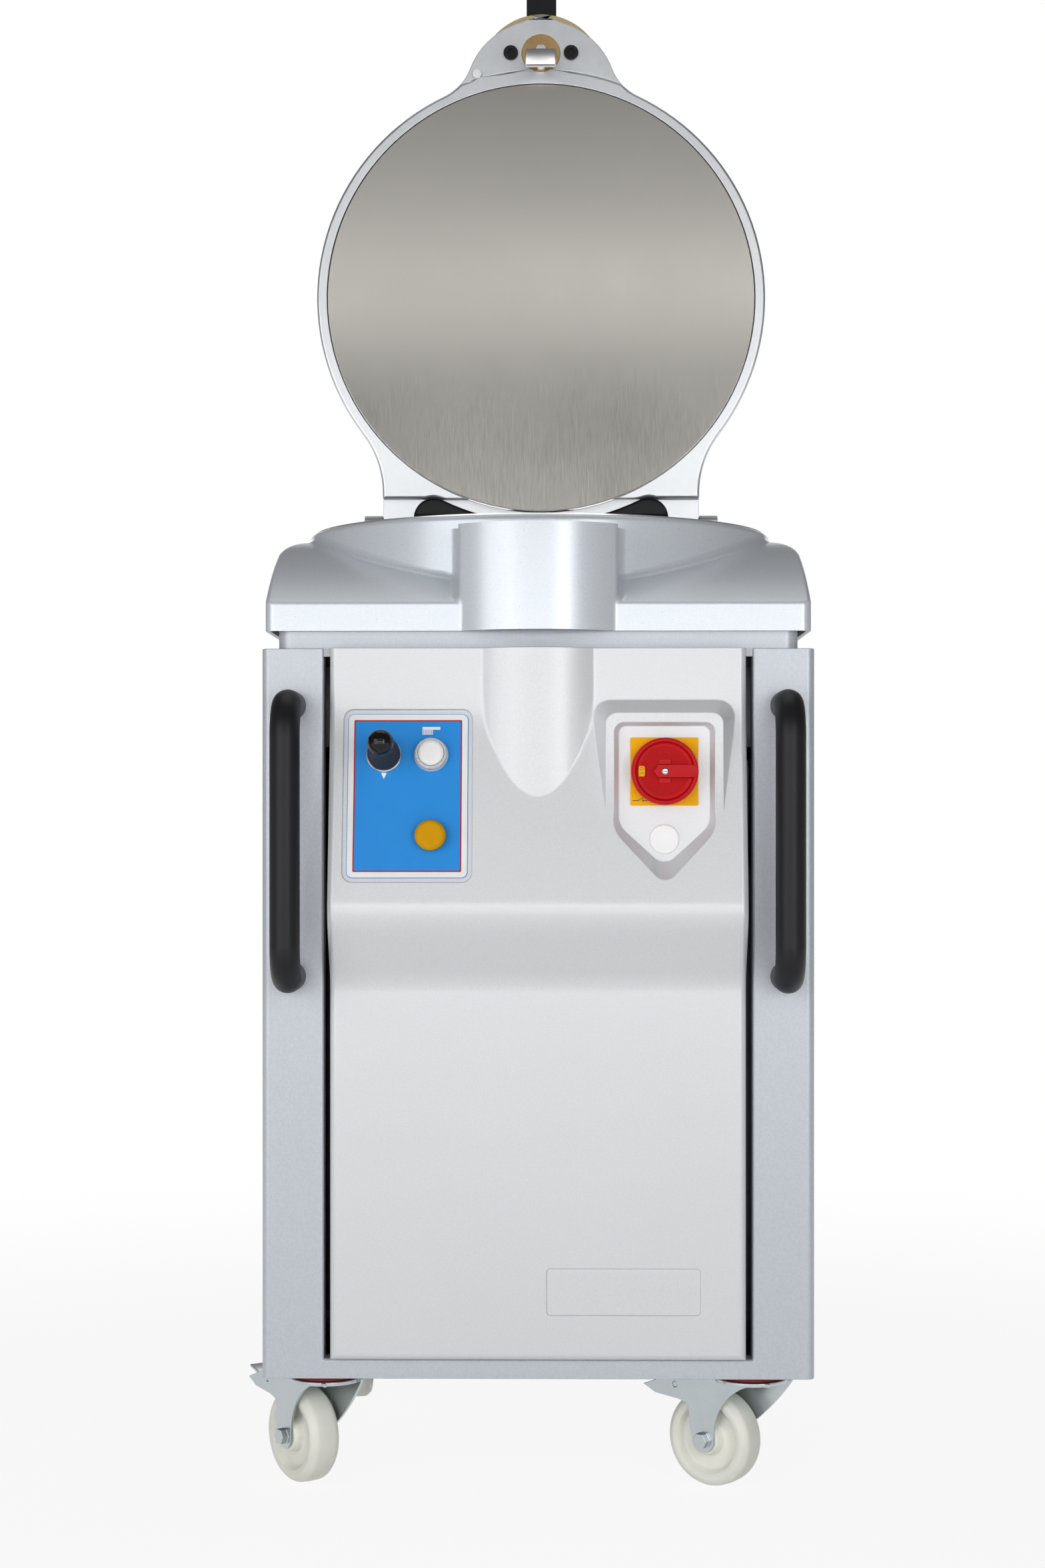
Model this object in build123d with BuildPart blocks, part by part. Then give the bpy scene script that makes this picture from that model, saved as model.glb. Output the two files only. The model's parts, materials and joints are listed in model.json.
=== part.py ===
# Hydraulic round dough divider on castors, modelled with its lid standing open.
# Millimetres. X runs to the right, Y to the rear and Z up, from the floor under the drum's axis.

import os
from math import acos, atan2, cos, degrees, hypot, radians, sin, sqrt, tan

from build123d import *

os.makedirs("parts", exist_ok=True)

# Cabinet and its frame
cabinet_width = 560.0
cabinet_front = 290.0
cabinet_rear = 310.0
cabinet_height = 740.0
cabinet_lip = 5.0
cabinet_sheet = 2.0
cabinet_corner = 8.0
opening_width = 434.0
opening_return = 25.0
opening_bend = 3.0
sill_height = 20.0
rear_opening_width = 440.0
rear_opening_height = 600.0
rear_panel_lap = 14.0
louvre_length = 70.0
louvre_width = 6.0
louvre_pitch = 18.0
louvre_rows = 8
rear_screw_radius = 2.5
base_plate = 8.0
base_upstand = 40.0
post_size = 30.0
post_wall = 3.0
post_inset = 5.0
post_setback = 13.0
deck_thickness = 8.0
band_width = 529.0
band_inset = 8.0
band_height = 24.0
band_wall = 3.0
band_corner = 14.0

# Top cover
cover_width = 554.0
cover_wall = 4.0
skirt_wall = 5.0
cover_corner = 10.0
cover_edge = 5.0
cover_shoulder = 26.0
cover_hollow = 10.0
skirt_gap = 18.0
skirt_height = 29.0
shelf_height = 81.0
fender_run = 208.0
fender_bulge = 11.2
drum_radius = 256.4
drum_rise = 12.5
drum_wall = 5.0
drum_edge = 6.0
column_radius = 119.0
column_width = 162.0
column_edge = 10.0
column_blend = 14.0
column_proud = 29.0
column_rise = -1.5
cover_boss = 9.0
cover_boss_inset = 42.0

# Basin, press and knives
basin_radius = 244.0
basin_wall = 6.0
basin_height = 142.0
basin_foot = 8.0
basin_lug_radius = 14.0
basin_lug_offset = 8.0
basin_flange = 6.0
deck_bore = 246.0
press_clearance = 0.7
segment_thickness = 18.0
segment_rise = 32.0
segment_post = 219.0
post_radius = 8.0
press_plate_radius = 215.0
press_plate_thickness = 18.0
inner_pieces = 6
outer_pieces = 14
inner_post_reach = 88.0
outer_post_reach = 190.0
blade = 3.0
blade_slot = 4.0
blade_height = 126.0
blade_below_press = 0.5
carrier_width = 20.0
carrier_thickness = 12.5
carrier_clearance = 2.0
knife_rod_radius = 9.0
knife_cylinder_radius = 24.0
knife_cylinder_bore = 17.0
knife_rod_show = 122.0
knife_rod_depth = 170.0
knife_gland = 25.0
knife_foot = 60.0
cylinder_radius = 52.0
cylinder_bore = 40.0
cylinder_length = 236.0
cylinder_gland = 25.0
cylinder_end = 15.0
cylinder_show = 10.0
piston_thickness = 20.0
piston_lift = 5.0
port_rise = 18.0
port_size = 24.0
port_reach = 60.0
knife_port_reach = 32.0
rod_radius = 25.0
stand_radius = 60.0
stand_wall = 8.0
running_fit = 0.05
tank_width = 300.0
tank_depth = 150.0
tank_x = -20.0
tank_y = 205.0
motor_radius = 68.0
motor_length = 190.0
motor_x = -80.0
motor_end = 18.0
motor_fins = 20
fin_depth = 5.0
fin_width = 5.0
block_width = 110.0
block_depth = 90.0
block_height = 90.0
block_x = 70.0
pipe_radius = 6.0
pipe_bend = 18.0
pipe_step = 23.0
pipe_rise = 66.0
box_width = 160.0
box_depth = 115.0
box_height = 250.0
box_x = 118.0
box_y = -205.0

# Front cover with its controls
panel_width = 420.0
panel_wall = 6.0
panel_proud = 12.5
panel_edge = 7.0
panel_bottom_gap = 1.0
panel_tilt = 11.5
panel_slope_drop = 69.0
panel_slope_blend = 200.0
console_depth = 41.2
console_blend = 45.0
console_return = 64.5
console_root = 40.0
panel_column_radius = 105.0
panel_column_hollow = 10.0
plate_width = 121.0
plate_height = 168.0
plate_thickness = 1.5
plate_corner = 6.0
plate_x = -130.6
plate_drop = 80.0
plate_margin = 4.5
plate_recess = 3.0
control_bore = 11.2
joystick_x = -154.6
joystick_rise = 40.6
joystick_base_radius = 18.0
joystick_base_height = 5.0
joystick_bore = 9.0
joystick_stick = 4.0
joystick_pin = 2.0
joystick_pin_depth = 4.0
joystick_reach = 58.0
joystick_ball = 13.0
button_x = -107.2
white_rise = 41.0
amber_drop = 41.0
collar_radius = 16.5
collar_height = 9.0
cap_radius = 13.0
cap_height = 13.5
cap_travel = 4.0
cap_round = 2.0
collar_floor = 2.0
white_stem = 5.0
amber_stem = 8.0
stem_depth = 18.0
amber_radius = 15.5
amber_height = 13.0
amber_lip = 2.5
amber_round = 5.0
control_body = 30.0
control_depth = 42.0
control_fit = 0.5
boss_left = 68.0
boss_width = 118.0
boss_rise = 3.0
boss_height = 113.0
boss_corner = 12.0
boss_spread = 13.0
boss_foot_corner = 18.0
boss_plane = 19.5
pocket_depth = 10.0
pocket_margin_side = 13.0
pocket_margin_top = 13.0
pocket_side = 100.0
pocket_point = 42.0
pocket_wall = 4.0
pocket_skirt = 30.0
pocket_rounds = [22.0, 8.0, 8.0, 22.0, 15.0]
flare_rounds = [40.0, 14.0, 14.0, 40.0, 14.0]
flare_reach = 40.0
flare_side = 17.6
flare_top = 12.0
flare_tip = 29.0
switch_drop = 46.0
switch_plate_size = 68.0
switch_plate_thickness = 3.0
switch_plate_corner = 1.5
knob_radius = 33.6
knob_height = 20.0
knob_rim = 5.5
knob_dish = 9.0
knob_grip = 12.0
knob_point = 11.6
knob_shaft = 4.0
knob_shaft_depth = 20.0
knob_gap = 0.3
switch_body_size = 56.0
switch_body_depth = 60.0
plug_drop = 68.0
plug_radius = 15.0
plug_thickness = 3.0
badge_x = 86.3
badge_rise = 70.3
badge_width = 155.0
badge_height = 47.0
badge_depth = 1.5
badge_corner = 4.0
handle_x = 250.0
handle_drop = 43.0
handle_span = 304.0
handle_radius = 15.0
handle_standoff = 68.0
handle_bend = 32.0
handle_bolt_grip = 14.0

# Lid, hinge and lock
hinge_y = 275.0
hinge_rise = 181.0
lid_gap = 1.0
disc_radius = 257.5
disc_thickness = 6.0
disc_proud = 1.0
disc_clearance = 1.0
ring_radius = 270.6
lid_plate = 14.0
lid_rim_width = 13.0
lid_rim_depth = 34.0
lid_rib = 14.0
lid_ribs = 6
lid_hub_radius = 48.0
nose_radius = 91.7
nose_reach = 245.0
nose_flare = 60.0
nose_step_radius = 276.0
nose_step = 3.0
leg_inner = 154.0
leg_outer = 191.0
leg_flare = 119.0
leg_arch = 24.0
leg_run = 125.0
leg_step_height = 33.0
eye_radius = 22.0
hinge_pin_radius = 8.0
hinge_block_gap = 1.0
hinge_block_thickness = 22.0
hinge_block_depth = 44.0
hinge_block_rise = 14.0
hinge_block_edge = 8.0
hinge_bush_wall = 3.0
hinge_pin_inset = 2.0
hinge_cover_radius = 23.0
hinge_cover_rise = 45.0
hinge_cover_plate = 12.0
hinge_cover_set = 5.0
hinge_cover_gap = 4.0
lock_reach = 295.8
lock_bush_radius = 23.0
lock_shaft_radius = 8.0
lock_boss_radius = 44.0
lock_boss_depth = 62.0
tongue_width = 36.5
tongue_height = 20.0
tongue_thickness = 14.0
tongue_offset = 17.0
tongue_reach = 48.0
tongue_swing = 4.5
tongue_neck = 5.0
crank_reach = 10.0
lock_hub_radius = 78.0
lock_hub_start = 108.0
lock_hub_thickness = 24.0
lock_neck_radius = 30.0
lever_width = 37.0
lever_thickness = 12.0
lever_start = 40.0
lever_reach = 230.0
grip_wall = 6.0
grip_start = 140.0
grip_length = 120.0
lid_screw_x = 36.4
lid_screw_head = 8.75
lid_screw_height = 4.0
lid_screw_shank = 6.0
lid_screw_length = 24.0
lid_plug_x = -77.0
lid_plug_reach = 271.0
lid_plug_radius = 5.85
lid_plug_proud = 3.0
lid_plug_depth = 8.0
catch_thickness = 6.0
catch_clearance = 2.0
catch_leg_gap = 72.0
catch_leg = 8.0
catch_leg_depth = 19.0
catch_front = 305.0
catch_rear = 259.0

# Castors
swivel_x = 221.0
front_swivel_y = -220.0
rear_swivel_y = 190.0
front_left_trail = 126.0
front_right_trail = 144.0
rear_left_trail = 90.0
rear_right_trail = 78.0
castor_trail = 45.0
wheel_radius = 50.0
wheel_width = 36.0
wheel_edge = 8.0
wheel_hub_radius = 17.0
wheel_dish_radius = 35.0
wheel_dish_depth = 9.0
wheel_dish_draft = 20.0
axle_radius = 6.0
axle_head = 8.6
axle_head_height = 7.0
fork_gap = 0.5
fork_wall = 3.0
wheel_hub_width = 40.0
crown_radius = 38.0
crown_gap = 14.0
crown_thickness = 4.0
seal_radius = 33.0
seal_bore = 20.0
seal_thickness = 3.7
seal_gap = 0.3
kingpin_radius = 8.0
kingpin_gap = 1.0
race_radius = 34.0
race_height = 8.0
castor_plate = 4.0
castor_plate_x = 100.0
castor_plate_y = 85.0
castor_bolt_x = 80.0
castor_bolt_y = 60.0
fork_eye = 13.0
fork_root = 36.0
fork_bows = {-1: (-22.0, 36.0), 1: (-42.0, 22.0)}
fork_heel = (15.0, 10.0)
fork_back = (7.0, 45.0)
wing_outline = [(18.7, 35.5), (30.0, 39.0), (60.0, 42.4), (75.0, 50.0), (54.0, 58.0)]
wing_root = 30.0
pedal_line = [(29.0, 56.0), (55.0, 53.0), (79.0, 60.0)]
pedal_width = 38.0
pedal_thickness = 3.0
pedal_pin = 3.0
pedal_pin_spot = (35.0, 54.0)
bolt_radius = 4.0
bolt_clearance = 0.2
bolt_head = 6.5
bolt_head_height = 5.0

# Levels and places that follow from the sizes above
crown_bottom = 2 * wheel_radius + crown_gap
crown_top = crown_bottom + crown_thickness
seal_bottom = crown_top + seal_gap
race_bottom = seal_bottom + seal_thickness
plate_bottom = race_bottom + race_height
base_bottom = plate_bottom + castor_plate
cabinet_bottom = base_bottom - cabinet_lip
cabinet_top = cabinet_bottom + cabinet_height
cabinet_half = cabinet_width / 2
cabinet_depth = cabinet_front + cabinet_rear
cabinet_middle = (cabinet_rear - cabinet_front) / 2
inner_width = cabinet_width - 2 * cabinet_sheet
inner_depth = cabinet_depth - 2 * cabinet_sheet
inner_corner = cabinet_corner - cabinet_sheet
opening_half = opening_width / 2
sill_top = cabinet_bottom + sill_height
rear_opening_bottom = cabinet_bottom + (cabinet_height - rear_opening_height) / 2
base_top = base_bottom + base_plate
deck_bottom = cabinet_top - deck_thickness
skirt_bottom = cabinet_top + skirt_gap
skirt_top = skirt_bottom + skirt_height
shelf_top = skirt_top + shelf_height
cover_half = cover_width / 2
drum_top = shelf_top + drum_rise
basin_top = cabinet_top + basin_height
segment_top = cabinet_top + segment_rise
column_y = column_radius - column_proud - cabinet_front
column_top = shelf_top + column_rise
panel_slope_top = cabinet_top - panel_slope_drop
plate_z = panel_slope_top - plate_drop
joystick_z = plate_z + joystick_rise
white_z = plate_z + white_rise
amber_z = plate_z - amber_drop
boss_right = boss_left + boss_width
boss_top = panel_slope_top + boss_rise
pocket_left = boss_left + pocket_margin_side
pocket_right = boss_right - pocket_margin_side
pocket_x = (pocket_left + pocket_right) / 2
pocket_top = boss_top - pocket_margin_top
pocket_shoulder = pocket_top - pocket_side
pocket_tip = pocket_shoulder - pocket_point
switch_z = pocket_top - switch_drop
plug_z = switch_z - plug_drop
badge_z = sill_top + badge_rise
handle_top = cabinet_top - handle_drop
hinge_z = cabinet_top + hinge_rise
lid_centre_z = hinge_z + hinge_y
disc_face_y = hinge_y - (hinge_z - basin_top - lid_gap)
lid_face_y = disc_face_y + disc_proud
nose_face_y = lid_face_y + nose_step
lock_z = lid_centre_z + lock_reach
castor_corners = {
    "front_left": (-swivel_x, front_swivel_y, front_left_trail),
    "front_right": (swivel_x, front_swivel_y, front_right_trail),
    "rear_left": (-swivel_x, rear_swivel_y, rear_left_trail),
    "rear_right": (swivel_x, rear_swivel_y, rear_right_trail),
}
castor_spots = [(x, y) for x, y, trail in castor_corners.values()]
cover_boss_spots = [
    (side * (cover_half - cover_boss_inset), y)
    for side in (-1, 1)
    for y in (cover_boss_inset - cabinet_front, cabinet_rear - cover_boss_inset)
]
basin_lug_reach = basin_radius + basin_wall + basin_foot + basin_lug_offset
lug_spots = [
    (basin_lug_reach * cos(radians(angle)), basin_lug_reach * sin(radians(angle)))
    for angle in (45, 135, 225, 315)
]

handle_levels = (handle_top - handle_radius, handle_top - handle_span + handle_radius)
handle_spots = [(x, z) for x in (-handle_x, handle_x) for z in handle_levels]

bottom_up = (Align.CENTER, Align.CENTER, Align.MIN)


def facing(y):
    """Plane at this Y that looks to the front, so that its local axes are X and Z."""
    return Plane.XZ.offset(-y)


def reach_of(edge, centre_y=0.0):
    middle = edge @ 0.5
    return hypot(middle.X, middle.Y - centre_y)


def save(node, name):
    node.part.label = name
    export_step(node.part, f"parts/{name}.step")


# Cabinet
with BuildPart() as cabinet_shell:
    with BuildSketch(Plane.XY.offset(cabinet_bottom)):
        with Locations((0, cabinet_middle)):
            RectangleRounded(cabinet_width, cabinet_depth, cabinet_corner)
            RectangleRounded(inner_width, inner_depth, inner_corner, mode=Mode.SUBTRACT)
    extrude(amount=cabinet_height)
    with Locations((0, -cabinet_front, sill_top)):
        Box(opening_width, 4 * cabinet_sheet, cabinet_height, align=bottom_up, mode=Mode.SUBTRACT)
    return_y = cabinet_sheet - cabinet_front
    for side in (-1, 1):
        with Locations((side * (opening_half + cabinet_sheet / 2), return_y, sill_top)):
            Box(
                cabinet_sheet,
                opening_return,
                cabinet_top - sill_top,
                align=(Align.CENTER, Align.MIN, Align.MIN),
            )
    with Locations((0, return_y, sill_top)):
        Box(
            opening_width + 2 * cabinet_sheet,
            opening_return,
            cabinet_sheet,
            align=(Align.CENTER, Align.MIN, Align.MAX),
        )
    bends = [
        edge
        for edge in cabinet_shell.edges()
        if abs((edge @ 0.5).Y + cabinet_front) < 0.01
        and (edge @ 0.5).Z < cabinet_top - 1
        and (abs((edge @ 0.5).Z - sill_top) < 0.01 or abs(abs((edge @ 0.5).X) - opening_half) < 0.01)
    ]
    fillet(bends, opening_bend)
    with Locations((0, return_y, deck_bottom)):
        Box(
            opening_width + 4 * cabinet_sheet,
            2 * opening_return,
            cabinet_height,
            align=(Align.CENTER, Align.MIN, Align.MIN),
            mode=Mode.SUBTRACT,
        )
    with Locations((0, cabinet_rear, rear_opening_bottom)):
        Box(rear_opening_width, 4 * cabinet_sheet, rear_opening_height, align=bottom_up, mode=Mode.SUBTRACT)
    with BuildSketch(facing(-cabinet_front)):
        with Locations(*handle_spots):
            Circle(bolt_radius + bolt_clearance)
    extrude(amount=-2 * cabinet_sheet, mode=Mode.SUBTRACT)
save(cabinet_shell, "cabinet_shell")

rear_screw_x = (rear_opening_width + rear_panel_lap) / 2
rear_screw_spots = [
    (side * rear_screw_x, rear_opening_bottom + rear_opening_height * part)
    for side in (-1, 1)
    for part in (0.05, 0.5, 0.95)
]
with BuildPart() as rear_panel:
    panel_middle = rear_opening_bottom + rear_opening_height / 2
    with BuildSketch(facing(cabinet_rear)):
        with Locations((0, panel_middle)):
            Rectangle(rear_opening_width + 2 * rear_panel_lap, rear_opening_height + 2 * rear_panel_lap)
            with GridLocations(2 * louvre_length, louvre_pitch, 2, louvre_rows):
                SlotOverall(louvre_length, louvre_width, mode=Mode.SUBTRACT)
        with Locations(*rear_screw_spots):
            Circle(rear_screw_radius + bolt_clearance, mode=Mode.SUBTRACT)
    extrude(amount=-cabinet_sheet)
save(rear_panel, "rear_panel")

with BuildPart() as rear_screws:
    with BuildSketch(facing(cabinet_rear + cabinet_sheet)):
        with Locations(*rear_screw_spots):
            Circle(2 * rear_screw_radius)
    extrude(amount=-rear_screw_radius)
    with BuildSketch(facing(cabinet_rear + cabinet_sheet)):
        with Locations(*rear_screw_spots):
            Circle(rear_screw_radius)
    extrude(amount=cabinet_sheet)
save(rear_screws, "rear_screws")

with BuildPart() as base_frame:
    with BuildSketch(Plane.XY.offset(base_bottom)):
        with Locations((0, cabinet_middle)):
            RectangleRounded(inner_width, inner_depth, cabinet_corner)
    extrude(amount=base_plate)
    for side in (-1, 1):
        with Locations((side * (inner_width / 2 - post_wall / 2), cabinet_middle, base_top)):
            Box(post_wall, inner_depth - 2 * cabinet_corner, base_upstand, align=bottom_up)
    with BuildSketch(Plane.XY.offset(base_bottom)):
        for x, y in castor_spots:
            with Locations((x, y)):
                with GridLocations(castor_bolt_x, castor_bolt_y, 2, 2):
                    Circle(bolt_radius + bolt_clearance)
    extrude(amount=base_plate, mode=Mode.SUBTRACT)
save(base_frame, "base_frame")

post_x = inner_width / 2 - post_inset - post_size / 2
post_ends = (post_setback + post_size / 2 - inner_depth / 2, inner_depth / 2 - post_setback - post_size / 2)
with BuildPart() as frame_posts:
    with BuildSketch(Plane.XY.offset(base_top)):
        for y in post_ends:
            with Locations((-post_x, cabinet_middle + y), (post_x, cabinet_middle + y)):
                Rectangle(post_size, post_size)
                Rectangle(post_size - 2 * post_wall, post_size - 2 * post_wall, mode=Mode.SUBTRACT)
    extrude(amount=deck_bottom - base_top)
save(frame_posts, "frame_posts")

with BuildPart() as deck_plate:
    with BuildSketch(Plane.XY.offset(deck_bottom)):
        with Locations((0, cabinet_middle)):
            RectangleRounded(inner_width, inner_depth, cabinet_corner)
        Circle(deck_bore, mode=Mode.SUBTRACT)
        with Locations(*lug_spots):
            Circle(bolt_radius + bolt_clearance, mode=Mode.SUBTRACT)
    extrude(amount=deck_thickness)
save(deck_plate, "deck_plate")

with BuildPart() as neck_band:
    with BuildSketch(Plane.XY.offset(cabinet_top)):
        with Locations((0, cabinet_middle)):
            band_depth = cabinet_depth - 2 * band_inset
            RectangleRounded(band_width, band_depth, band_corner)
            RectangleRounded(
                band_width - 2 * band_wall,
                band_depth - 2 * band_wall,
                band_corner - band_wall,
                mode=Mode.SUBTRACT,
            )
    extrude(amount=band_height)
save(neck_band, "neck_band")

# Top cover, open below and through its drum
fender_start = Vector(-cabinet_front, skirt_top)
fender_end = Vector(fender_run - cabinet_front, shelf_top)
fender_chord = fender_end - fender_start
fender_swell = Vector(-fender_chord.Y, fender_chord.X).normalized() * fender_bulge
with BuildSketch(Plane.YZ) as cover_side:
    with BuildLine():
        ThreePointArc(fender_start, fender_start + fender_chord * 0.5 + fender_swell, fender_end)
        Polyline(
            fender_end,
            (cabinet_rear, shelf_top),
            (cabinet_rear, skirt_bottom),
            (-cabinet_front, skirt_bottom),
            fender_start,
        )
    make_face()

with BuildSketch(Plane.XY.offset(skirt_bottom)) as column_plan:
    with Locations((0, column_y)):
        Circle(column_radius)
        Rectangle(column_width, 2 * column_radius, mode=Mode.INTERSECT)
    fillet(column_plan.vertices().group_by(Axis.Y)[0], column_edge)

with BuildSketch(facing(cabinet_rear)) as cover_front:
    with Locations((0, skirt_bottom)):
        Rectangle(cover_width, shelf_top - skirt_bottom, align=(Align.CENTER, Align.MIN))
    fillet(cover_front.vertices().group_by(Axis.Y)[-1], cover_shoulder)

with BuildPart() as cover_cavity:
    with BuildSketch(Plane.YZ):
        add(cover_side.sketch_local)
        offset(amount=-cover_wall, kind=Kind.INTERSECTION, mode=Mode.REPLACE)
        with Locations((cabinet_middle, skirt_bottom)):
            Rectangle(cabinet_depth - 2 * cover_wall, 4 * cover_wall)
    extrude(amount=cover_half, both=True)
    with BuildSketch(facing(cabinet_rear)):
        add(cover_front.sketch_local)
        offset(amount=-cover_wall, mode=Mode.REPLACE)
        with Locations((0, skirt_bottom)):
            Rectangle(cover_width - 2 * cover_wall, 4 * cover_wall)
    extrude(amount=cabinet_depth, mode=Mode.INTERSECT)
    with BuildSketch(Plane.XY.offset(skirt_bottom - cover_wall)):
        with Locations((0, cabinet_middle)):
            RectangleRounded(
                cover_width - 2 * skirt_wall, cabinet_depth - 2 * skirt_wall, cover_corner - skirt_wall
            )
    extrude(amount=shelf_top - skirt_bottom + cover_wall, mode=Mode.INTERSECT)
    with BuildSketch(Plane.XY.offset(skirt_bottom - cover_wall)):
        add(column_plan.sketch_local)
        offset(amount=-cover_wall, mode=Mode.REPLACE)
    extrude(amount=column_top - skirt_bottom)
    with BuildSketch(Plane.XY.offset(skirt_bottom)):
        with Locations(*cover_boss_spots):
            Circle(cover_boss)
    extrude(amount=shelf_height + skirt_height, mode=Mode.SUBTRACT)

with BuildPart() as drum_column:
    with Locations((0, 0, skirt_bottom)):
        Cylinder(drum_radius, drum_top - skirt_bottom, align=bottom_up)
    extrude(column_plan.sketch, amount=column_top - skirt_bottom)
    column_corners = [
        edge
        for edge in drum_column.edges().filter_by(Axis.Z)
        if abs(abs((edge @ 0.5).X) - column_width / 2) < 0.1 and abs(reach_of(edge) - drum_radius) < 0.1
    ]
    fillet(column_corners, column_blend)

hinge_block_x = leg_outer + hinge_block_gap + hinge_block_thickness / 2
hinge_hole_width = hinge_block_thickness + 2 * hinge_block_gap
hinge_hole_depth = hinge_block_depth + 2 * hinge_block_gap
entry_front = tongue_offset - tongue_height / 2 - tongue_swing - catch_clearance
entry_rear = tongue_offset + tongue_height / 2 + catch_clearance
slot_front = entry_front - tongue_swing
with BuildPart() as top_cover:
    extrude(cover_side.sketch, amount=cover_half, both=True)
    extrude(cover_front.sketch, amount=cabinet_depth, mode=Mode.INTERSECT)
    fillet(top_cover.edges().filter_by(Axis.Z), cover_corner)
    crown_edges = [
        edge
        for edge in top_cover.edges()
        if (edge @ 0.5).Z > skirt_top - 0.5
        and abs((edge @ 0.5).X) > cover_half - cover_shoulder - 1
        and (edge @ 0.5).Y < fender_run - cabinet_front
    ]
    fillet(crown_edges, cover_edge)
    add(drum_column.part)
    column_reach = column_width / 2 + 2 * column_blend
    hollows = [
        edge
        for edge in top_cover.edges()
        if skirt_bottom + 1 < (edge @ 0.5).Z < drum_top - drum_edge
        and abs((edge @ 0.5).Z - column_top) > 0.5
        and (
            (edge.geom_type != GeomType.LINE and abs(reach_of(edge) - drum_radius) < 0.6)
            or (
                edge.geom_type != GeomType.LINE
                and abs((edge @ 0.5).X) < column_reach
                and (edge @ 0.5).Y < column_y
            )
            or (
                edge.geom_type == GeomType.LINE
                and abs((edge @ 0.5).X) < column_width / 2
                and abs((edge @ 0.5).Y + cabinet_front) < 0.05
            )
        )
    ]
    fillet(hollows, cover_hollow)
    fillet(top_cover.faces().sort_by(Axis.Z)[-1].edges(), drum_edge)
    with Locations((0, 0, skirt_bottom)):
        Cylinder(drum_radius - drum_wall, 2 * drum_top, align=bottom_up, mode=Mode.SUBTRACT)
    add(cover_cavity.part, mode=Mode.SUBTRACT)
    with BuildSketch(Plane.XY.offset(cabinet_top)):
        with Locations(*cover_boss_spots):
            Circle(cover_boss)
    extrude(amount=skirt_bottom - cabinet_top)
    with BuildSketch(Plane.XY.offset(column_top - 2 * cover_wall)):
        with Locations((0, (slot_front + entry_rear) / 2 - lock_reach)):
            Rectangle(
                tongue_width + 4 * catch_clearance,
                entry_rear - slot_front + 2 * catch_clearance,
            )
    extrude(amount=3 * cover_wall, mode=Mode.SUBTRACT)
    with BuildSketch(Plane.XY.offset(shelf_top - 2 * cover_wall)):
        with Locations((-hinge_block_x, hinge_y), (hinge_block_x, hinge_y)):
            Rectangle(hinge_hole_width, hinge_hole_depth)
    extrude(amount=3 * cover_wall, mode=Mode.SUBTRACT)
save(top_cover, "top_cover")

catch_bottom = hinge_z - hinge_y + nose_face_y - tongue_reach + tongue_thickness + catch_clearance
catch_width = catch_leg_gap + 2 * catch_leg
with BuildPart() as latch_bracket:
    with BuildSketch(Plane.XY.offset(catch_bottom)):
        with Locations((0, -catch_rear)):
            Rectangle(catch_width, catch_front - catch_rear, align=(Align.CENTER, Align.MAX))
        with Locations((0, entry_rear - lock_reach)):
            Rectangle(
                tongue_width + 2 * catch_clearance,
                entry_rear - entry_front,
                align=(Align.CENTER, Align.MAX),
                mode=Mode.SUBTRACT,
            )
    extrude(amount=catch_thickness)
    for side in (-1, 1):
        with Locations((side * (catch_leg_gap + catch_leg) / 2, -catch_rear, cabinet_top)):
            Box(
                catch_leg,
                catch_leg_depth,
                catch_bottom - cabinet_top,
                align=(Align.CENTER, Align.MAX, Align.MIN),
            )
save(latch_bracket, "latch_bracket")

with BuildPart() as basin:
    with BuildSketch(Plane.XY.offset(cabinet_top)):
        Circle(basin_radius + basin_wall + basin_foot)
        with Locations(*lug_spots):
            Circle(basin_lug_radius)
        Circle(basin_radius, mode=Mode.SUBTRACT)
        with Locations(*lug_spots):
            Circle(bolt_radius + bolt_clearance, mode=Mode.SUBTRACT)
    extrude(amount=basin_flange)
    with BuildSketch(Plane.XY.offset(cabinet_top)):
        Circle(basin_radius + basin_wall)
        Circle(basin_radius, mode=Mode.SUBTRACT)
    extrude(amount=basin_height)
save(basin, "basin")

# Press and knives
press_radius = basin_radius - press_clearance
pieces = inner_pieces + outer_pieces
knife_ring = press_radius * sqrt(inner_pieces / pieces)
press_plate_top = segment_top - segment_thickness - segment_post
press_plate_bottom = press_plate_top - press_plate_thickness
with BuildPart() as press_segments:
    with BuildSketch(Plane.XY.offset(segment_top - segment_thickness)):
        Circle(press_radius)
        Circle(knife_ring + blade_slot / 2, mode=Mode.SUBTRACT)
        with PolarLocations(0, outer_pieces):
            Rectangle(press_radius, blade_slot, align=(Align.MIN, Align.CENTER), mode=Mode.SUBTRACT)
    extrude(amount=segment_thickness)
    with BuildSketch(Plane.XY.offset(segment_top - segment_thickness)):
        Circle(knife_ring - blade_slot / 2)
        with PolarLocations(0, inner_pieces):
            Rectangle(press_radius, blade_slot, align=(Align.MIN, Align.CENTER), mode=Mode.SUBTRACT)
    extrude(amount=segment_thickness)
    with BuildSketch(Plane.XY.offset(press_plate_top)):
        with PolarLocations(inner_post_reach, inner_pieces, start_angle=180 / inner_pieces):
            Circle(post_radius)
        with PolarLocations(outer_post_reach, outer_pieces, start_angle=180 / outer_pieces):
            Circle(post_radius)
    extrude(amount=segment_post)
save(press_segments, "press_segments")

with BuildPart() as press_plate:
    with Locations((0, 0, press_plate_bottom)):
        Cylinder(press_plate_radius, press_plate_thickness, align=bottom_up)
save(press_plate, "press_plate")

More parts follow.
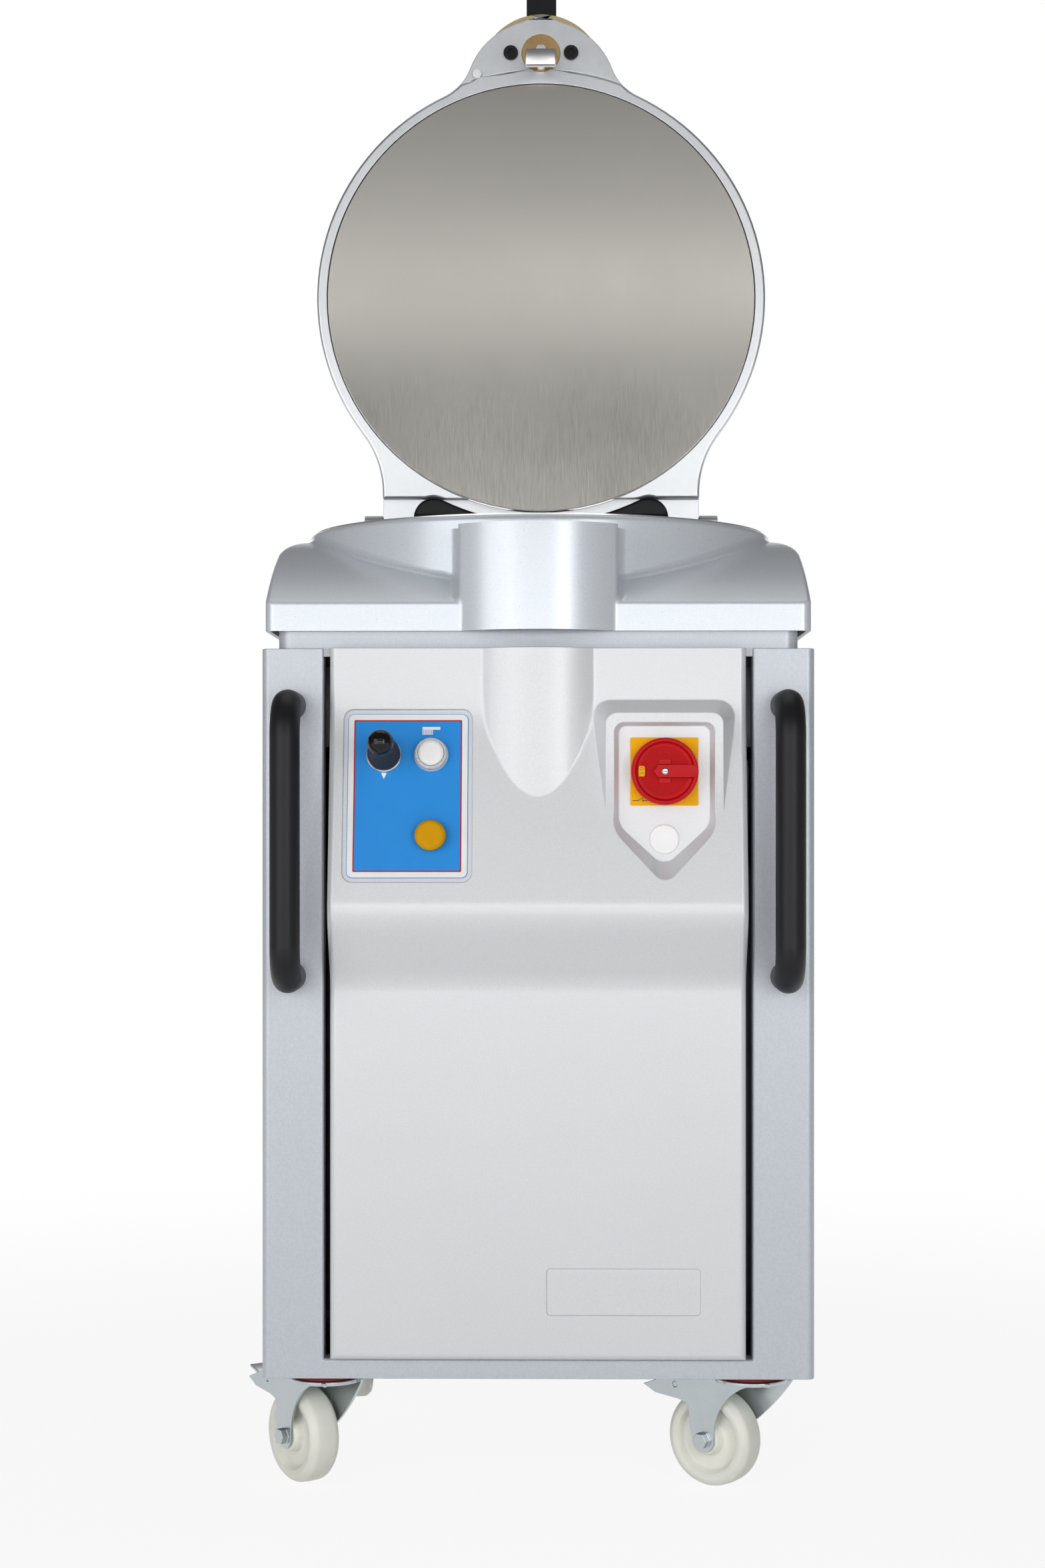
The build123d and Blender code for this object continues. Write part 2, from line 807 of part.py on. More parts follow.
cylinder_top = press_plate_bottom - cylinder_show
cylinder_bottom = cylinder_top - cylinder_length
piston_bottom = cylinder_bottom + cylinder_end + piston_lift
with BuildPart() as piston_rod:
    with Locations((0, 0, piston_bottom)):
        Cylinder(cylinder_bore - running_fit, piston_thickness, align=bottom_up)
        Cylinder(rod_radius, press_plate_bottom - piston_bottom, align=bottom_up)
save(piston_rod, "piston_rod")

with BuildPart() as main_cylinder:
    with Locations((0, 0, base_top)):
        Cylinder(stand_radius + 2 * stand_wall, stand_wall, align=bottom_up)
        Cylinder(stand_radius, cylinder_bottom - base_top, align=bottom_up)
    with Locations((0, 0, cylinder_bottom)):
        Cylinder(cylinder_radius, cylinder_length, align=bottom_up)
    with Locations((0, 0, cylinder_bottom + port_rise)):
        Box(port_size, port_reach, port_size, align=(Align.CENTER, Align.MIN, Align.CENTER))
    with Locations((0, 0, base_top)):
        Cylinder(
            stand_radius - stand_wall,
            cylinder_bottom - base_top - stand_wall,
            align=bottom_up,
            mode=Mode.SUBTRACT,
        )
    with Locations((0, 0, cylinder_bottom + cylinder_end)):
        Cylinder(
            cylinder_bore,
            cylinder_length - cylinder_end - cylinder_gland,
            align=bottom_up,
            mode=Mode.SUBTRACT,
        )
        Cylinder(rod_radius + running_fit, cylinder_length, align=bottom_up, mode=Mode.SUBTRACT)
save(main_cylinder, "main_cylinder")

blade_top = segment_top - blade_below_press
blade_bottom = blade_top - blade_height
carrier_radius = basin_radius - carrier_clearance
with BuildPart() as knife_grid:
    with BuildSketch(Plane.XY.offset(blade_bottom)):
        Circle(knife_ring + blade / 2)
        Circle(knife_ring - blade / 2, mode=Mode.SUBTRACT)
        with PolarLocations(0, inner_pieces):
            Rectangle(knife_ring, blade, align=(Align.MIN, Align.CENTER))
        with PolarLocations(knife_ring, outer_pieces):
            Rectangle(carrier_radius - knife_ring - press_clearance, blade, align=(Align.MIN, Align.CENTER))
    extrude(amount=blade_height)
save(knife_grid, "knife_grid")

knife_rod_x = carrier_radius - carrier_width / 2
knife_spots = [(-knife_rod_x, 0), (knife_rod_x, 0)]
carrier_bottom = blade_bottom - carrier_thickness
knife_cylinder_top = carrier_bottom - knife_rod_show
knife_rod_bottom = knife_cylinder_top - knife_rod_depth
with BuildPart() as knife_carrier:
    with BuildSketch(Plane.XY.offset(carrier_bottom)):
        Circle(carrier_radius)
        Circle(carrier_radius - carrier_width, mode=Mode.SUBTRACT)
    extrude(amount=carrier_thickness)
    with BuildSketch(Plane.XY.offset(knife_rod_bottom)):
        with Locations(*knife_spots):
            Circle(knife_rod_radius)
    extrude(amount=carrier_bottom - knife_rod_bottom)
    with BuildSketch(Plane.XY.offset(knife_rod_bottom)):
        with Locations(*knife_spots):
            Circle(knife_cylinder_bore - running_fit)
    extrude(amount=piston_thickness)
save(knife_carrier, "knife_carrier")

knife_bore_bottom = knife_rod_bottom - piston_lift
with BuildPart() as knife_cylinders:
    with BuildSketch(Plane.XY.offset(base_top)):
        with Locations(*knife_spots):
            Rectangle(knife_foot, knife_foot)
    extrude(amount=stand_wall)
    with BuildSketch(Plane.XY.offset(base_top)):
        with Locations(*knife_spots):
            Circle(knife_cylinder_radius)
    extrude(amount=knife_cylinder_top - base_top)
    with Locations(*[(x, 0, cylinder_bottom + port_rise) for x, y in knife_spots]):
        Box(port_size, knife_port_reach, port_size, align=(Align.CENTER, Align.MIN, Align.CENTER))
    with BuildSketch(Plane.XY.offset(knife_bore_bottom)):
        with Locations(*knife_spots):
            Circle(knife_cylinder_bore)
    extrude(amount=knife_cylinder_top - knife_gland - knife_bore_bottom, mode=Mode.SUBTRACT)
    with BuildSketch(Plane.XY.offset(knife_bore_bottom)):
        with Locations(*knife_spots):
            Circle(knife_rod_radius + running_fit)
    extrude(amount=knife_cylinder_top - knife_bore_bottom, mode=Mode.SUBTRACT)
save(knife_cylinders, "knife_cylinders")

# Hydraulics and electrics inside the cabinet
pipe_z = cylinder_bottom + port_rise
tank_top = pipe_z - pipe_rise
with BuildPart() as hydraulic_tank:
    with Locations((tank_x, tank_y, base_top)):
        Box(tank_width, tank_depth, tank_top - base_top, align=bottom_up)
    fillet(hydraulic_tank.edges().filter_by(Axis.Z), pipe_bend)
save(hydraulic_tank, "hydraulic_tank")

with BuildPart() as pump_motor:
    with BuildSketch(Plane.XY.offset(tank_top)):
        with Locations((motor_x, tank_y)):
            Circle(motor_radius)
    extrude(amount=motor_length)
    with BuildSketch(Plane.XY.offset(tank_top + motor_end)):
        with Locations((motor_x, tank_y)):
            with PolarLocations(motor_radius, motor_fins):
                Rectangle(2 * fin_depth, fin_width)
    extrude(amount=motor_length - 2 * motor_end, mode=Mode.SUBTRACT)
save(pump_motor, "pump_motor")

with BuildPart() as valve_block:
    with Locations((block_x, tank_y, tank_top)):
        Box(block_width, block_depth, block_height, align=bottom_up)
save(valve_block, "valve_block")

block_front = tank_y - block_depth / 2
block_right = block_x + block_width / 2
pipe_routes = [
    [
        (block_x, block_front, pipe_z),
        (block_x, port_reach + 2 * pipe_bend, pipe_z),
        (0, port_reach + 2 * pipe_bend, pipe_z),
        (0, port_reach, pipe_z),
    ],
    [
        (block_right, tank_y, pipe_z),
        (knife_rod_x, tank_y, pipe_z),
        (knife_rod_x, knife_port_reach, pipe_z),
    ],
    [
        (block_x - pipe_step, block_front, pipe_z - pipe_step),
        (block_x - pipe_step, port_reach + pipe_step, pipe_z - pipe_step),
        (-knife_rod_x, port_reach + pipe_step, pipe_z - pipe_step),
        (-knife_rod_x, knife_port_reach + pipe_step, pipe_z - pipe_step),
        (-knife_rod_x, knife_port_reach + pipe_step, pipe_z),
        (-knife_rod_x, knife_port_reach, pipe_z),
    ],
]
with BuildPart() as hydraulic_pipes:
    for route in pipe_routes:
        with BuildLine() as path:
            FilletPolyline(*route, radius=pipe_bend * 0.6)
        with BuildSketch(Plane(route[0], z_dir=path.line % 0)):
            Circle(pipe_radius)
        sweep(path=path.line)
save(hydraulic_pipes, "hydraulic_pipes")

with BuildPart() as control_box:
    with Locations((box_x, box_y, base_top)):
        Box(box_width, box_depth, box_height, align=bottom_up)
    fillet(control_box.edges().filter_by(Axis.Z), opening_bend)
save(control_box, "control_box")

# Front cover
panel_half = panel_width / 2
panel_face = -cabinet_front - panel_proud
panel_bottom = sill_top + panel_bottom_gap
panel_back = cabinet_sheet + opening_return / 2 - cabinet_front
console_face = panel_face - console_depth
console_z = panel_slope_top - console_depth / tan(radians(panel_tilt))
deck_front = cabinet_sheet - cabinet_front
with BuildSketch(Plane.YZ) as panel_side:
    with BuildLine():
        front_line = FilletPolyline(
            (panel_face, cabinet_top),
            (panel_face, panel_slope_top),
            (console_face, console_z),
            (panel_face, console_z - console_return),
            (panel_face, panel_bottom),
            radius=[panel_slope_blend, console_blend, console_root],
        )
        Polyline(
            (panel_face, panel_bottom),
            (panel_back, panel_bottom),
            (panel_back, cabinet_top),
            (panel_face, cabinet_top),
        )
    make_face()

column_axis_y = panel_column_radius - column_proud - cabinet_front
slope_plane = Plane(
    origin=(0, panel_face, panel_slope_top),
    x_dir=(1, 0, 0),
    z_dir=(0, -cos(radians(panel_tilt)), sin(radians(panel_tilt))),
)


def on_slope(x, z):
    """Place on the console's slope, in the slope's own axes, for a spot given by X and height."""
    return (x, (z - panel_slope_top) / cos(radians(panel_tilt)))


joystick_spot = on_slope(joystick_x, joystick_z)
white_spot = on_slope(button_x, white_z)
amber_spot = on_slope(button_x, amber_z)
control_spots = [joystick_spot, white_spot, amber_spot]
plate_front = plate_thickness - plate_recess
joystick_pivot = slope_plane.from_local_coords(Vector(*joystick_spot, plate_front - joystick_pin_depth))
boss_front = panel_face - boss_plane
pocket_floor = boss_front + pocket_depth
with BuildPart() as panel_cavity:
    with BuildSketch(Plane.YZ):
        add(panel_side.sketch_local)
        offset(amount=-panel_wall, kind=Kind.INTERSECTION, mode=Mode.REPLACE)
        with Locations((panel_back, (panel_bottom + cabinet_top) / 2)):
            Rectangle(4 * panel_wall, cabinet_top - panel_bottom - 2 * panel_wall)
    extrude(amount=panel_half - panel_wall, both=True)
    with Locations((0, column_axis_y, console_z)):
        Cylinder(panel_column_radius - panel_wall, cabinet_top - panel_wall - console_z, align=bottom_up)
    with Locations((pocket_x, pocket_floor + pocket_wall, pocket_tip - pocket_skirt)):
        Box(
            boss_width + 2 * pocket_wall,
            console_depth * 2,
            boss_top + pocket_wall - pocket_tip + pocket_skirt,
            align=(Align.CENTER, Align.MAX, Align.MIN),
            mode=Mode.SUBTRACT,
        )

with BuildPart() as front_cover:
    extrude(panel_side.sketch, amount=panel_half, both=True)
    outer_edges = [
        edge
        for edge in front_cover.edges()
        if (abs(abs((edge @ 0.5).X) - panel_half) < 0.01 and (edge @ 0.5).Y < panel_face + 0.01)
        or abs((edge @ 0.5).Z - panel_bottom) + abs((edge @ 0.5).Y - panel_face) < 0.01
    ]
    fillet(outer_edges, panel_edge)
    with Locations((0, column_axis_y, console_z)):
        Cylinder(panel_column_radius, cabinet_top - console_z, align=bottom_up)
    column_hollows = [
        edge
        for edge in front_cover.edges()
        if abs(reach_of(edge, column_axis_y) - panel_column_radius) < 0.6
        and (edge @ 0.5).Y < panel_face + 1
        and (edge @ 0.5).Z < cabinet_top - 1
    ]
    fillet(column_hollows, panel_column_hollow)
    with BuildSketch(facing(boss_front)):
        with Locations((pocket_x, boss_top - boss_height / 2)):
            RectangleRounded(boss_width, boss_height, boss_corner)
    with BuildSketch(facing(panel_face)):
        with Locations((pocket_x, boss_top - boss_height / 2)):
            RectangleRounded(boss_width + 2 * boss_spread, boss_height + 2 * boss_spread, boss_foot_corner)
    loft()
    add(panel_cavity.part, mode=Mode.SUBTRACT)
    with Locations((0, panel_back, panel_bottom)):
        Box(
            panel_width,
            cabinet_depth,
            cabinet_height,
            align=(Align.CENTER, Align.MIN, Align.MIN),
            mode=Mode.SUBTRACT,
        )
    with Locations((0, deck_front, deck_bottom - panel_bottom_gap)):
        Box(
            panel_width,
            cabinet_depth,
            cabinet_height,
            align=(Align.CENTER, Align.MIN, Align.MIN),
            mode=Mode.SUBTRACT,
        )
    for flare, rounds in [(0, pocket_rounds), (1, flare_rounds)]:
        shoulder_drop = flare * (flare_tip - flare_side * pocket_point / (pocket_x - pocket_left))
        with BuildSketch(facing(pocket_floor - flare * flare_reach)):
            with BuildLine():
                FilletPolyline(
                    (pocket_left - flare * flare_side, pocket_shoulder - shoulder_drop),
                    (pocket_left - flare * flare_side, pocket_top + flare * flare_top),
                    (pocket_right + flare * flare_side, pocket_top + flare * flare_top),
                    (pocket_right + flare * flare_side, pocket_shoulder - shoulder_drop),
                    (pocket_x, pocket_tip - flare * flare_tip),
                    radius=rounds,
                    close=True,
                )
            make_face()
    loft(ruled=True, mode=Mode.SUBTRACT)
    with BuildSketch(facing(pocket_floor)):
        with Locations((pocket_x, switch_z)):
            Rectangle(switch_body_size + 2 * control_fit, switch_body_size + 2 * control_fit)
        with Locations((pocket_x, plug_z)):
            Circle(control_bore)
    extrude(amount=-pocket_wall - 2 * panel_wall, mode=Mode.SUBTRACT)
    with BuildSketch(slope_plane.offset(plate_recess)):
        with Locations(on_slope(plate_x, plate_z)):
            RectangleRounded(
                plate_width + 2 * plate_margin,
                plate_height + 2 * plate_margin,
                plate_corner + plate_margin,
            )
    extrude(amount=-2 * plate_recess, mode=Mode.SUBTRACT)
    with BuildSketch(slope_plane):
        with Locations(*control_spots):
            Circle(control_bore)
    extrude(amount=-2 * panel_wall, mode=Mode.SUBTRACT)
    with BuildSketch(facing(panel_face)):
        with Locations((badge_x, badge_z)):
            RectangleRounded(badge_width, badge_height, badge_corner)
    extrude(amount=-badge_depth, mode=Mode.SUBTRACT)
save(front_cover, "front_cover")

# Controls on the console
plate_plane = slope_plane.offset(plate_front)
press_axis = Axis(plate_plane.origin, plate_plane.z_dir)
with BuildPart() as control_plate:
    with BuildSketch(slope_plane.offset(-plate_recess)):
        with Locations(on_slope(plate_x, plate_z)):
            RectangleRounded(plate_width, plate_height, plate_corner)
        with Locations(*control_spots):
            Circle(control_bore, mode=Mode.SUBTRACT)
    extrude(amount=plate_thickness)
save(control_plate, "control_plate")

control_grip = plate_thickness + panel_wall - plate_recess
with BuildPart() as control_bases:
    with BuildSketch(plate_plane):
        with Locations(*control_spots):
            Circle(control_bore - control_fit)
    extrude(amount=-control_depth)
    with BuildSketch(plate_plane.offset(-control_grip)):
        with Locations(*control_spots):
            Rectangle(control_body, control_body)
    extrude(amount=control_grip - control_depth)
    with BuildSketch(plate_plane):
        with Locations(joystick_spot):
            Circle(joystick_base_radius)
    extrude(amount=joystick_base_height)
    with BuildSketch(plate_plane):
        with Locations(white_spot):
            Circle(collar_radius)
    extrude(amount=collar_height)
    with BuildSketch(plate_plane):
        with Locations(amber_spot):
            Circle(amber_radius - amber_lip)
    extrude(amount=collar_floor)
    with BuildSketch(plate_plane.offset(joystick_base_height)):
        with Locations(joystick_spot):
            Circle(joystick_bore)
    extrude(amount=-joystick_base_height - stem_depth, mode=Mode.SUBTRACT)
    with BuildSketch(Plane.YZ.offset(joystick_x)):
        with Locations((joystick_pivot.Y, joystick_pivot.Z)):
            Circle(joystick_pin + running_fit)
    extrude(amount=control_bore, both=True, mode=Mode.SUBTRACT)
    with BuildSketch(plate_plane.offset(collar_height)):
        with Locations(white_spot):
            Circle(cap_radius + running_fit)
    extrude(amount=collar_floor - collar_height, mode=Mode.SUBTRACT)
    with BuildSketch(plate_plane.offset(collar_height)):
        with Locations(white_spot):
            Circle(white_stem + running_fit)
        with Locations(amber_spot):
            Circle(amber_stem + running_fit)
    extrude(amount=-collar_height - stem_depth - 2 * cap_travel, mode=Mode.SUBTRACT)
save(control_bases, "control_bases")

with BuildPart() as joystick_lever:
    with BuildSketch(plate_plane.offset(-joystick_pin_depth - 2 * joystick_pin)):
        with Locations(joystick_spot):
            Circle(joystick_stick)
    extrude(amount=joystick_reach + joystick_pin_depth + 2 * joystick_pin)
    with Locations(plate_plane.from_local_coords(Vector(*joystick_spot, joystick_reach))):
        Sphere(joystick_ball)
    with BuildSketch(Plane.YZ.offset(joystick_x)):
        with Locations((joystick_pivot.Y, joystick_pivot.Z)):
            Circle(joystick_pin)
    extrude(amount=control_bore - 2 * control_fit, both=True)
save(joystick_lever, "joystick_lever")

with BuildPart() as white_button:
    with BuildSketch(plate_plane.offset(collar_floor + cap_travel + control_fit)):
        with Locations(white_spot):
            Circle(cap_radius)
    extrude(amount=cap_height - collar_floor - cap_travel - control_fit)
    fillet(white_button.edges().filter_by(GeomType.CIRCLE).sort_by(press_axis)[-1:], cap_round)
    with BuildSketch(plate_plane.offset(-stem_depth)):
        with Locations(white_spot):
            Circle(white_stem)
    extrude(amount=stem_depth + collar_floor + cap_travel + control_fit)
save(white_button, "white_button")

with BuildPart() as amber_button:
    with BuildSketch(plate_plane.offset(collar_floor + cap_travel + control_fit)):
        with Locations(amber_spot):
            Circle(amber_radius)
    extrude(amount=amber_height - collar_floor - cap_travel - control_fit)
    fillet(amber_button.edges().filter_by(GeomType.CIRCLE).sort_by(press_axis)[-1:], amber_round)
    with BuildSketch(plate_plane.offset(-stem_depth)):
        with Locations(amber_spot):
            Circle(amber_stem)
    extrude(amount=stem_depth + collar_floor + cap_travel + control_fit)
save(amber_button, "amber_button")

with BuildPart() as switch_plate:
    with BuildSketch(facing(pocket_floor)):
        with Locations((pocket_x, switch_z)):
            RectangleRounded(switch_plate_size, switch_plate_size, switch_plate_corner)
            Circle(knob_shaft + running_fit, mode=Mode.SUBTRACT)
    extrude(amount=switch_plate_thickness)
save(switch_plate, "switch_plate")

with BuildPart() as switch_body:
    with BuildSketch(facing(pocket_floor)):
        with Locations((pocket_x, switch_z)):
            Rectangle(switch_body_size, switch_body_size)
    extrude(amount=-switch_body_depth)
    with BuildSketch(facing(pocket_floor)):
        with Locations((pocket_x, switch_z)):
            Circle(knob_shaft + running_fit)
    extrude(amount=-knob_shaft_depth - control_fit, mode=Mode.SUBTRACT)
save(switch_body, "switch_body")

knob_back = pocket_floor - switch_plate_thickness - knob_gap
grip_reach = knob_radius - knob_rim
with BuildPart() as switch_knob:
    with BuildSketch(facing(knob_back)):
        with Locations((pocket_x, switch_z)):
            Circle(knob_radius)
    extrude(amount=knob_height)
    with BuildSketch(facing(knob_back - knob_height)):
        with Locations((pocket_x, switch_z)):
            Circle(grip_reach)
            Polygon(
                (-knob_point, 0),
                (knob_grip / 2 - knob_point, -knob_grip / 2),
                (knob_radius, -knob_grip / 2),
                (knob_radius, knob_grip / 2),
                (knob_grip / 2 - knob_point, knob_grip / 2),
                align=None,
                mode=Mode.SUBTRACT,
            )
    extrude(amount=-knob_dish, mode=Mode.SUBTRACT)
    with BuildSketch(facing(knob_back)):
        with Locations((pocket_x, switch_z)):
            Circle(knob_shaft)
    extrude(amount=knob_back - pocket_floor - knob_shaft_depth)
save(switch_knob, "switch_knob")

with BuildPart() as blank_plug:
    with BuildSketch(facing(pocket_floor)):
        with Locations((pocket_x, plug_z)):
            Circle(plug_radius)
    extrude(amount=plug_thickness)
    with BuildSketch(facing(pocket_floor)):
        with Locations((pocket_x, plug_z)):
            Circle(control_bore - control_fit)
    extrude(amount=-pocket_wall)
save(blank_plug, "blank_plug")

handle_y = -cabinet_front - handle_standoff
with BuildPart() as handles:
    for x in (-handle_x, handle_x):
        with BuildLine() as handle_path:
            FilletPolyline(
                (x, -cabinet_front, handle_levels[0]),
                (x, handle_y, handle_levels[0]),
                (x, handle_y, handle_levels[1]),
                (x, -cabinet_front, handle_levels[1]),
                radius=handle_bend,
            )
        with BuildSketch(Plane((x, -cabinet_front, handle_levels[0]), z_dir=(0, -1, 0))):
            Circle(handle_radius)
        sweep(path=handle_path.line)
    with BuildSketch(facing(-cabinet_front)):
        with Locations(*handle_spots):
            Circle(bolt_radius + bolt_clearance)
    extrude(amount=handle_bolt_grip + bolt_clearance, mode=Mode.SUBTRACT)
save(handles, "handles")

castor_bolt_spots = [
    (x + dx * castor_bolt_x / 2, y + dy * castor_bolt_y / 2)
    for x, y in castor_spots
    for dx in (-1, 1)
    for dy in (-1, 1)
]
with BuildPart() as m8_bolts:
    with BuildSketch(Plane.XY.offset(plate_bottom)):
        with Locations(*castor_bolt_spots):
            RegularPolygon(bolt_head, 6)
    extrude(amount=-bolt_head_height)
    with BuildSketch(Plane.XY.offset(plate_bottom)):
        with Locations(*castor_bolt_spots):
            Circle(bolt_radius)
    extrude(amount=base_top - plate_bottom)
    with BuildSketch(Plane.XY.offset(cabinet_top + basin_flange)):
        with Locations(*lug_spots):
            RegularPolygon(bolt_head, 6)
    extrude(amount=bolt_head_height)
    with BuildSketch(Plane.XY.offset(cabinet_top + basin_flange)):
        with Locations(*lug_spots):
            Circle(bolt_radius)
    extrude(amount=-basin_flange - deck_thickness)
    with BuildSketch(facing(deck_front)):
        with Locations(*handle_spots):
            RegularPolygon(bolt_head, 6)
    extrude(amount=-bolt_head_height)
    with BuildSketch(facing(deck_front)):
        with Locations(*handle_spots):
            Circle(bolt_radius)
    extrude(amount=cabinet_sheet + handle_bolt_grip)
save(m8_bolts, "m8_bolts")

# Hinge
with BuildPart() as hinge_blocks:
    with Locations((-hinge_block_x, hinge_y, cabinet_top), (hinge_block_x, hinge_y, cabinet_top)):
        Box(
            hinge_block_thickness,
            hinge_block_depth,
            hinge_rise + hinge_block_rise,
            align=bottom_up,
        )
    fillet(hinge_blocks.edges().filter_by(Axis.X).group_by(Axis.Z)[-1], hinge_block_edge)
    with BuildSketch(Plane.YZ):
        with Locations((hinge_y, hinge_z)):
            Circle(hinge_pin_radius + hinge_bush_wall)
    extrude(amount=cabinet_half, both=True, mode=Mode.SUBTRACT)
save(hinge_blocks, "hinge_blocks")

with BuildPart() as hinge_bushes:
    for side in (-1, 1):
        with BuildSketch(Plane.YZ.offset(side * hinge_block_x)):
            with Locations((hinge_y, hinge_z)):
                Circle(hinge_pin_radius + hinge_bush_wall)
                Circle(hinge_pin_radius + running_fit, mode=Mode.SUBTRACT)
        extrude(amount=hinge_block_thickness / 2, both=True)
save(hinge_bushes, "hinge_bushes")

with BuildPart() as hinge_pin:
    with BuildSketch(Plane.YZ):
        with Locations((hinge_y, hinge_z)):
            Circle(hinge_pin_radius)
    extrude(amount=hinge_block_x + hinge_block_thickness / 2 - hinge_pin_inset, both=True)
save(hinge_pin, "hinge_pin")

# Lid, standing open
leg_x = (leg_inner + leg_outer) / 2
leg_width = leg_outer - leg_inner
with BuildSketch(facing(lid_face_y)) as lid_outline:
    with Locations((0, lid_centre_z)):
        Circle(ring_radius)
    with Locations((0, lid_centre_z + nose_reach)):
        Circle(nose_radius)
    with Locations((-leg_x, hinge_z), (leg_x, hinge_z)):
        Rectangle(leg_width, leg_run, align=(Align.CENTER, Align.MIN))
    fillet(lid_outline.vertices().filter_by(lambda corner: corner.Y > lid_centre_z + 1), nose_flare)
    for leg_side, leg_blend in ((leg_inner, leg_arch), (leg_outer, leg_flare)):
        leg_corners = [
            corner
            for corner in lid_outline.vertices()
            if abs(abs(corner.X) - leg_side) < 0.1 and corner.Y > hinge_z + 1
        ]
        fillet(leg_corners, leg_blend)

with BuildPart() as hinge_cover:
    with BuildSketch(Plane.YZ):
        with Locations((hinge_y, hinge_z)):
            Circle(hinge_cover_radius)
            with Locations((-hinge_cover_set, 0)):
                Rectangle(hinge_cover_plate, hinge_cover_rise, align=(Align.MAX, Align.MIN))
            Circle(hinge_pin_radius + running_fit, mode=Mode.SUBTRACT)
    extrude(amount=leg_inner - hinge_cover_gap, both=True)
    extrude(lid_outline.sketch, amount=-lid_rim_depth - hinge_block_gap, mode=Mode.SUBTRACT)
save(hinge_cover, "hinge_cover")

with BuildPart() as lid_casting:
    extrude(lid_outline.sketch, amount=-lid_rim_depth)
    with BuildSketch(facing(lid_face_y + lid_plate)):
        with Locations((0, lid_centre_z)):
            Circle(ring_radius - lid_rim_width)
            Circle(lid_hub_radius, mode=Mode.SUBTRACT)
            with PolarLocations(0, lid_ribs):
                Rectangle(ring_radius, lid_rib, align=(Align.MIN, Align.CENTER), mode=Mode.SUBTRACT)
    extrude(amount=lid_plate - lid_rim_depth, mode=Mode.SUBTRACT)
    with BuildSketch(facing(lid_face_y)):
        with Locations((-leg_x, hinge_z), (leg_x, hinge_z)):
            Rectangle(leg_width, leg_run, align=(Align.CENTER, Align.MIN))
    extrude(amount=lid_face_y - hinge_y - eye_radius)
    with BuildSketch(facing(lid_face_y)):
        with Locations((0, lock_z)):
            Circle(lock_boss_radius)
    extrude(amount=-lock_boss_depth)
    for side in (-1, 1):
        with BuildSketch(Plane.YZ.offset(side * leg_x)):
            with Locations((hinge_y, hinge_z)):
                Circle(eye_radius)
        extrude(amount=leg_width / 2, both=True)
    with Locations((0, lid_face_y, hinge_z - eye_radius)):
        Box(
            cabinet_width,
            hinge_y - eye_radius - lid_face_y,
            eye_radius + leg_step_height,
            align=(Align.CENTER, Align.MIN, Align.MIN),
            mode=Mode.SUBTRACT,
        )
    with BuildSketch(facing(lid_face_y)):
        with Locations((0, lid_centre_z + nose_reach)):
            Rectangle(4 * nose_radius, 2 * nose_radius)
        with Locations((0, lid_centre_z)):
            Circle(nose_step_radius, mode=Mode.SUBTRACT)
    extrude(amount=-nose_step, mode=Mode.SUBTRACT)
    with BuildSketch(facing(lid_face_y)):
        with Locations((0, lid_centre_z)):
            Circle(disc_radius + disc_clearance)
    extrude(amount=disc_proud - disc_thickness, mode=Mode.SUBTRACT)
    with BuildSketch(facing(lid_face_y)):
        with Locations((0, lock_z)):
            Circle(lock_bush_radius)
    extrude(amount=-lock_boss_depth, mode=Mode.SUBTRACT)
    with BuildSketch(facing(lid_face_y)):
        with Locations((-lid_screw_x, lock_z), (lid_screw_x, lock_z)):
            Circle(lid_screw_shank)
    extrude(amount=-nose_step - lid_screw_length, mode=Mode.SUBTRACT)
    with BuildSketch(facing(lid_face_y)):
        with Locations((lid_plug_x, lid_centre_z + lid_plug_reach)):
            Circle(lid_plug_radius)
    extrude(amount=-nose_step - lid_plug_depth, mode=Mode.SUBTRACT)
    with BuildSketch(Plane.YZ):
        with Locations((hinge_y, hinge_z)):
            Circle(hinge_pin_radius)
    extrude(amount=cabinet_half, both=True, mode=Mode.SUBTRACT)
save(lid_casting, "lid_casting")

with BuildPart() as lid_disc:
    with BuildSketch(facing(disc_face_y)):
        with Locations((0, lid_centre_z)):
            Circle(disc_radius)
    extrude(amount=-disc_thickness)
save(lid_disc, "lid_disc")

with BuildPart() as lid_screws:
    with BuildSketch(facing(nose_face_y)):
        with Locations((-lid_screw_x, lock_z), (lid_screw_x, lock_z)):
            Circle(lid_screw_head)
    extrude(amount=lid_screw_height)
    with BuildSketch(facing(nose_face_y)):
        with Locations((-lid_screw_x, lock_z), (lid_screw_x, lock_z)):
            Circle(lid_screw_shank)
    extrude(amount=-lid_screw_length)
save(lid_screws, "lid_screws")

with BuildPart() as lid_plug:
    with BuildSketch(facing(nose_face_y - lid_plug_proud)):
        with Locations((lid_plug_x, lid_centre_z + lid_plug_reach)):
            Circle(lid_plug_radius)
    extrude(amount=-lid_plug_proud - lid_plug_depth)
save(lid_plug, "lid_plug")

# Lock in the lid's nose
lock_boss_end = lid_face_y + lock_boss_depth
with BuildPart() as lock_bush:
    with BuildSketch(facing(nose_face_y - disc_proud)):
        with Locations((0, lock_z)):
            Circle(lock_bush_radius)
            Circle(lock_shaft_radius + running_fit, mode=Mode.SUBTRACT)
    extrude(amount=nose_face_y - disc_proud - lock_boss_end)
save(lock_bush, "lock_bush")

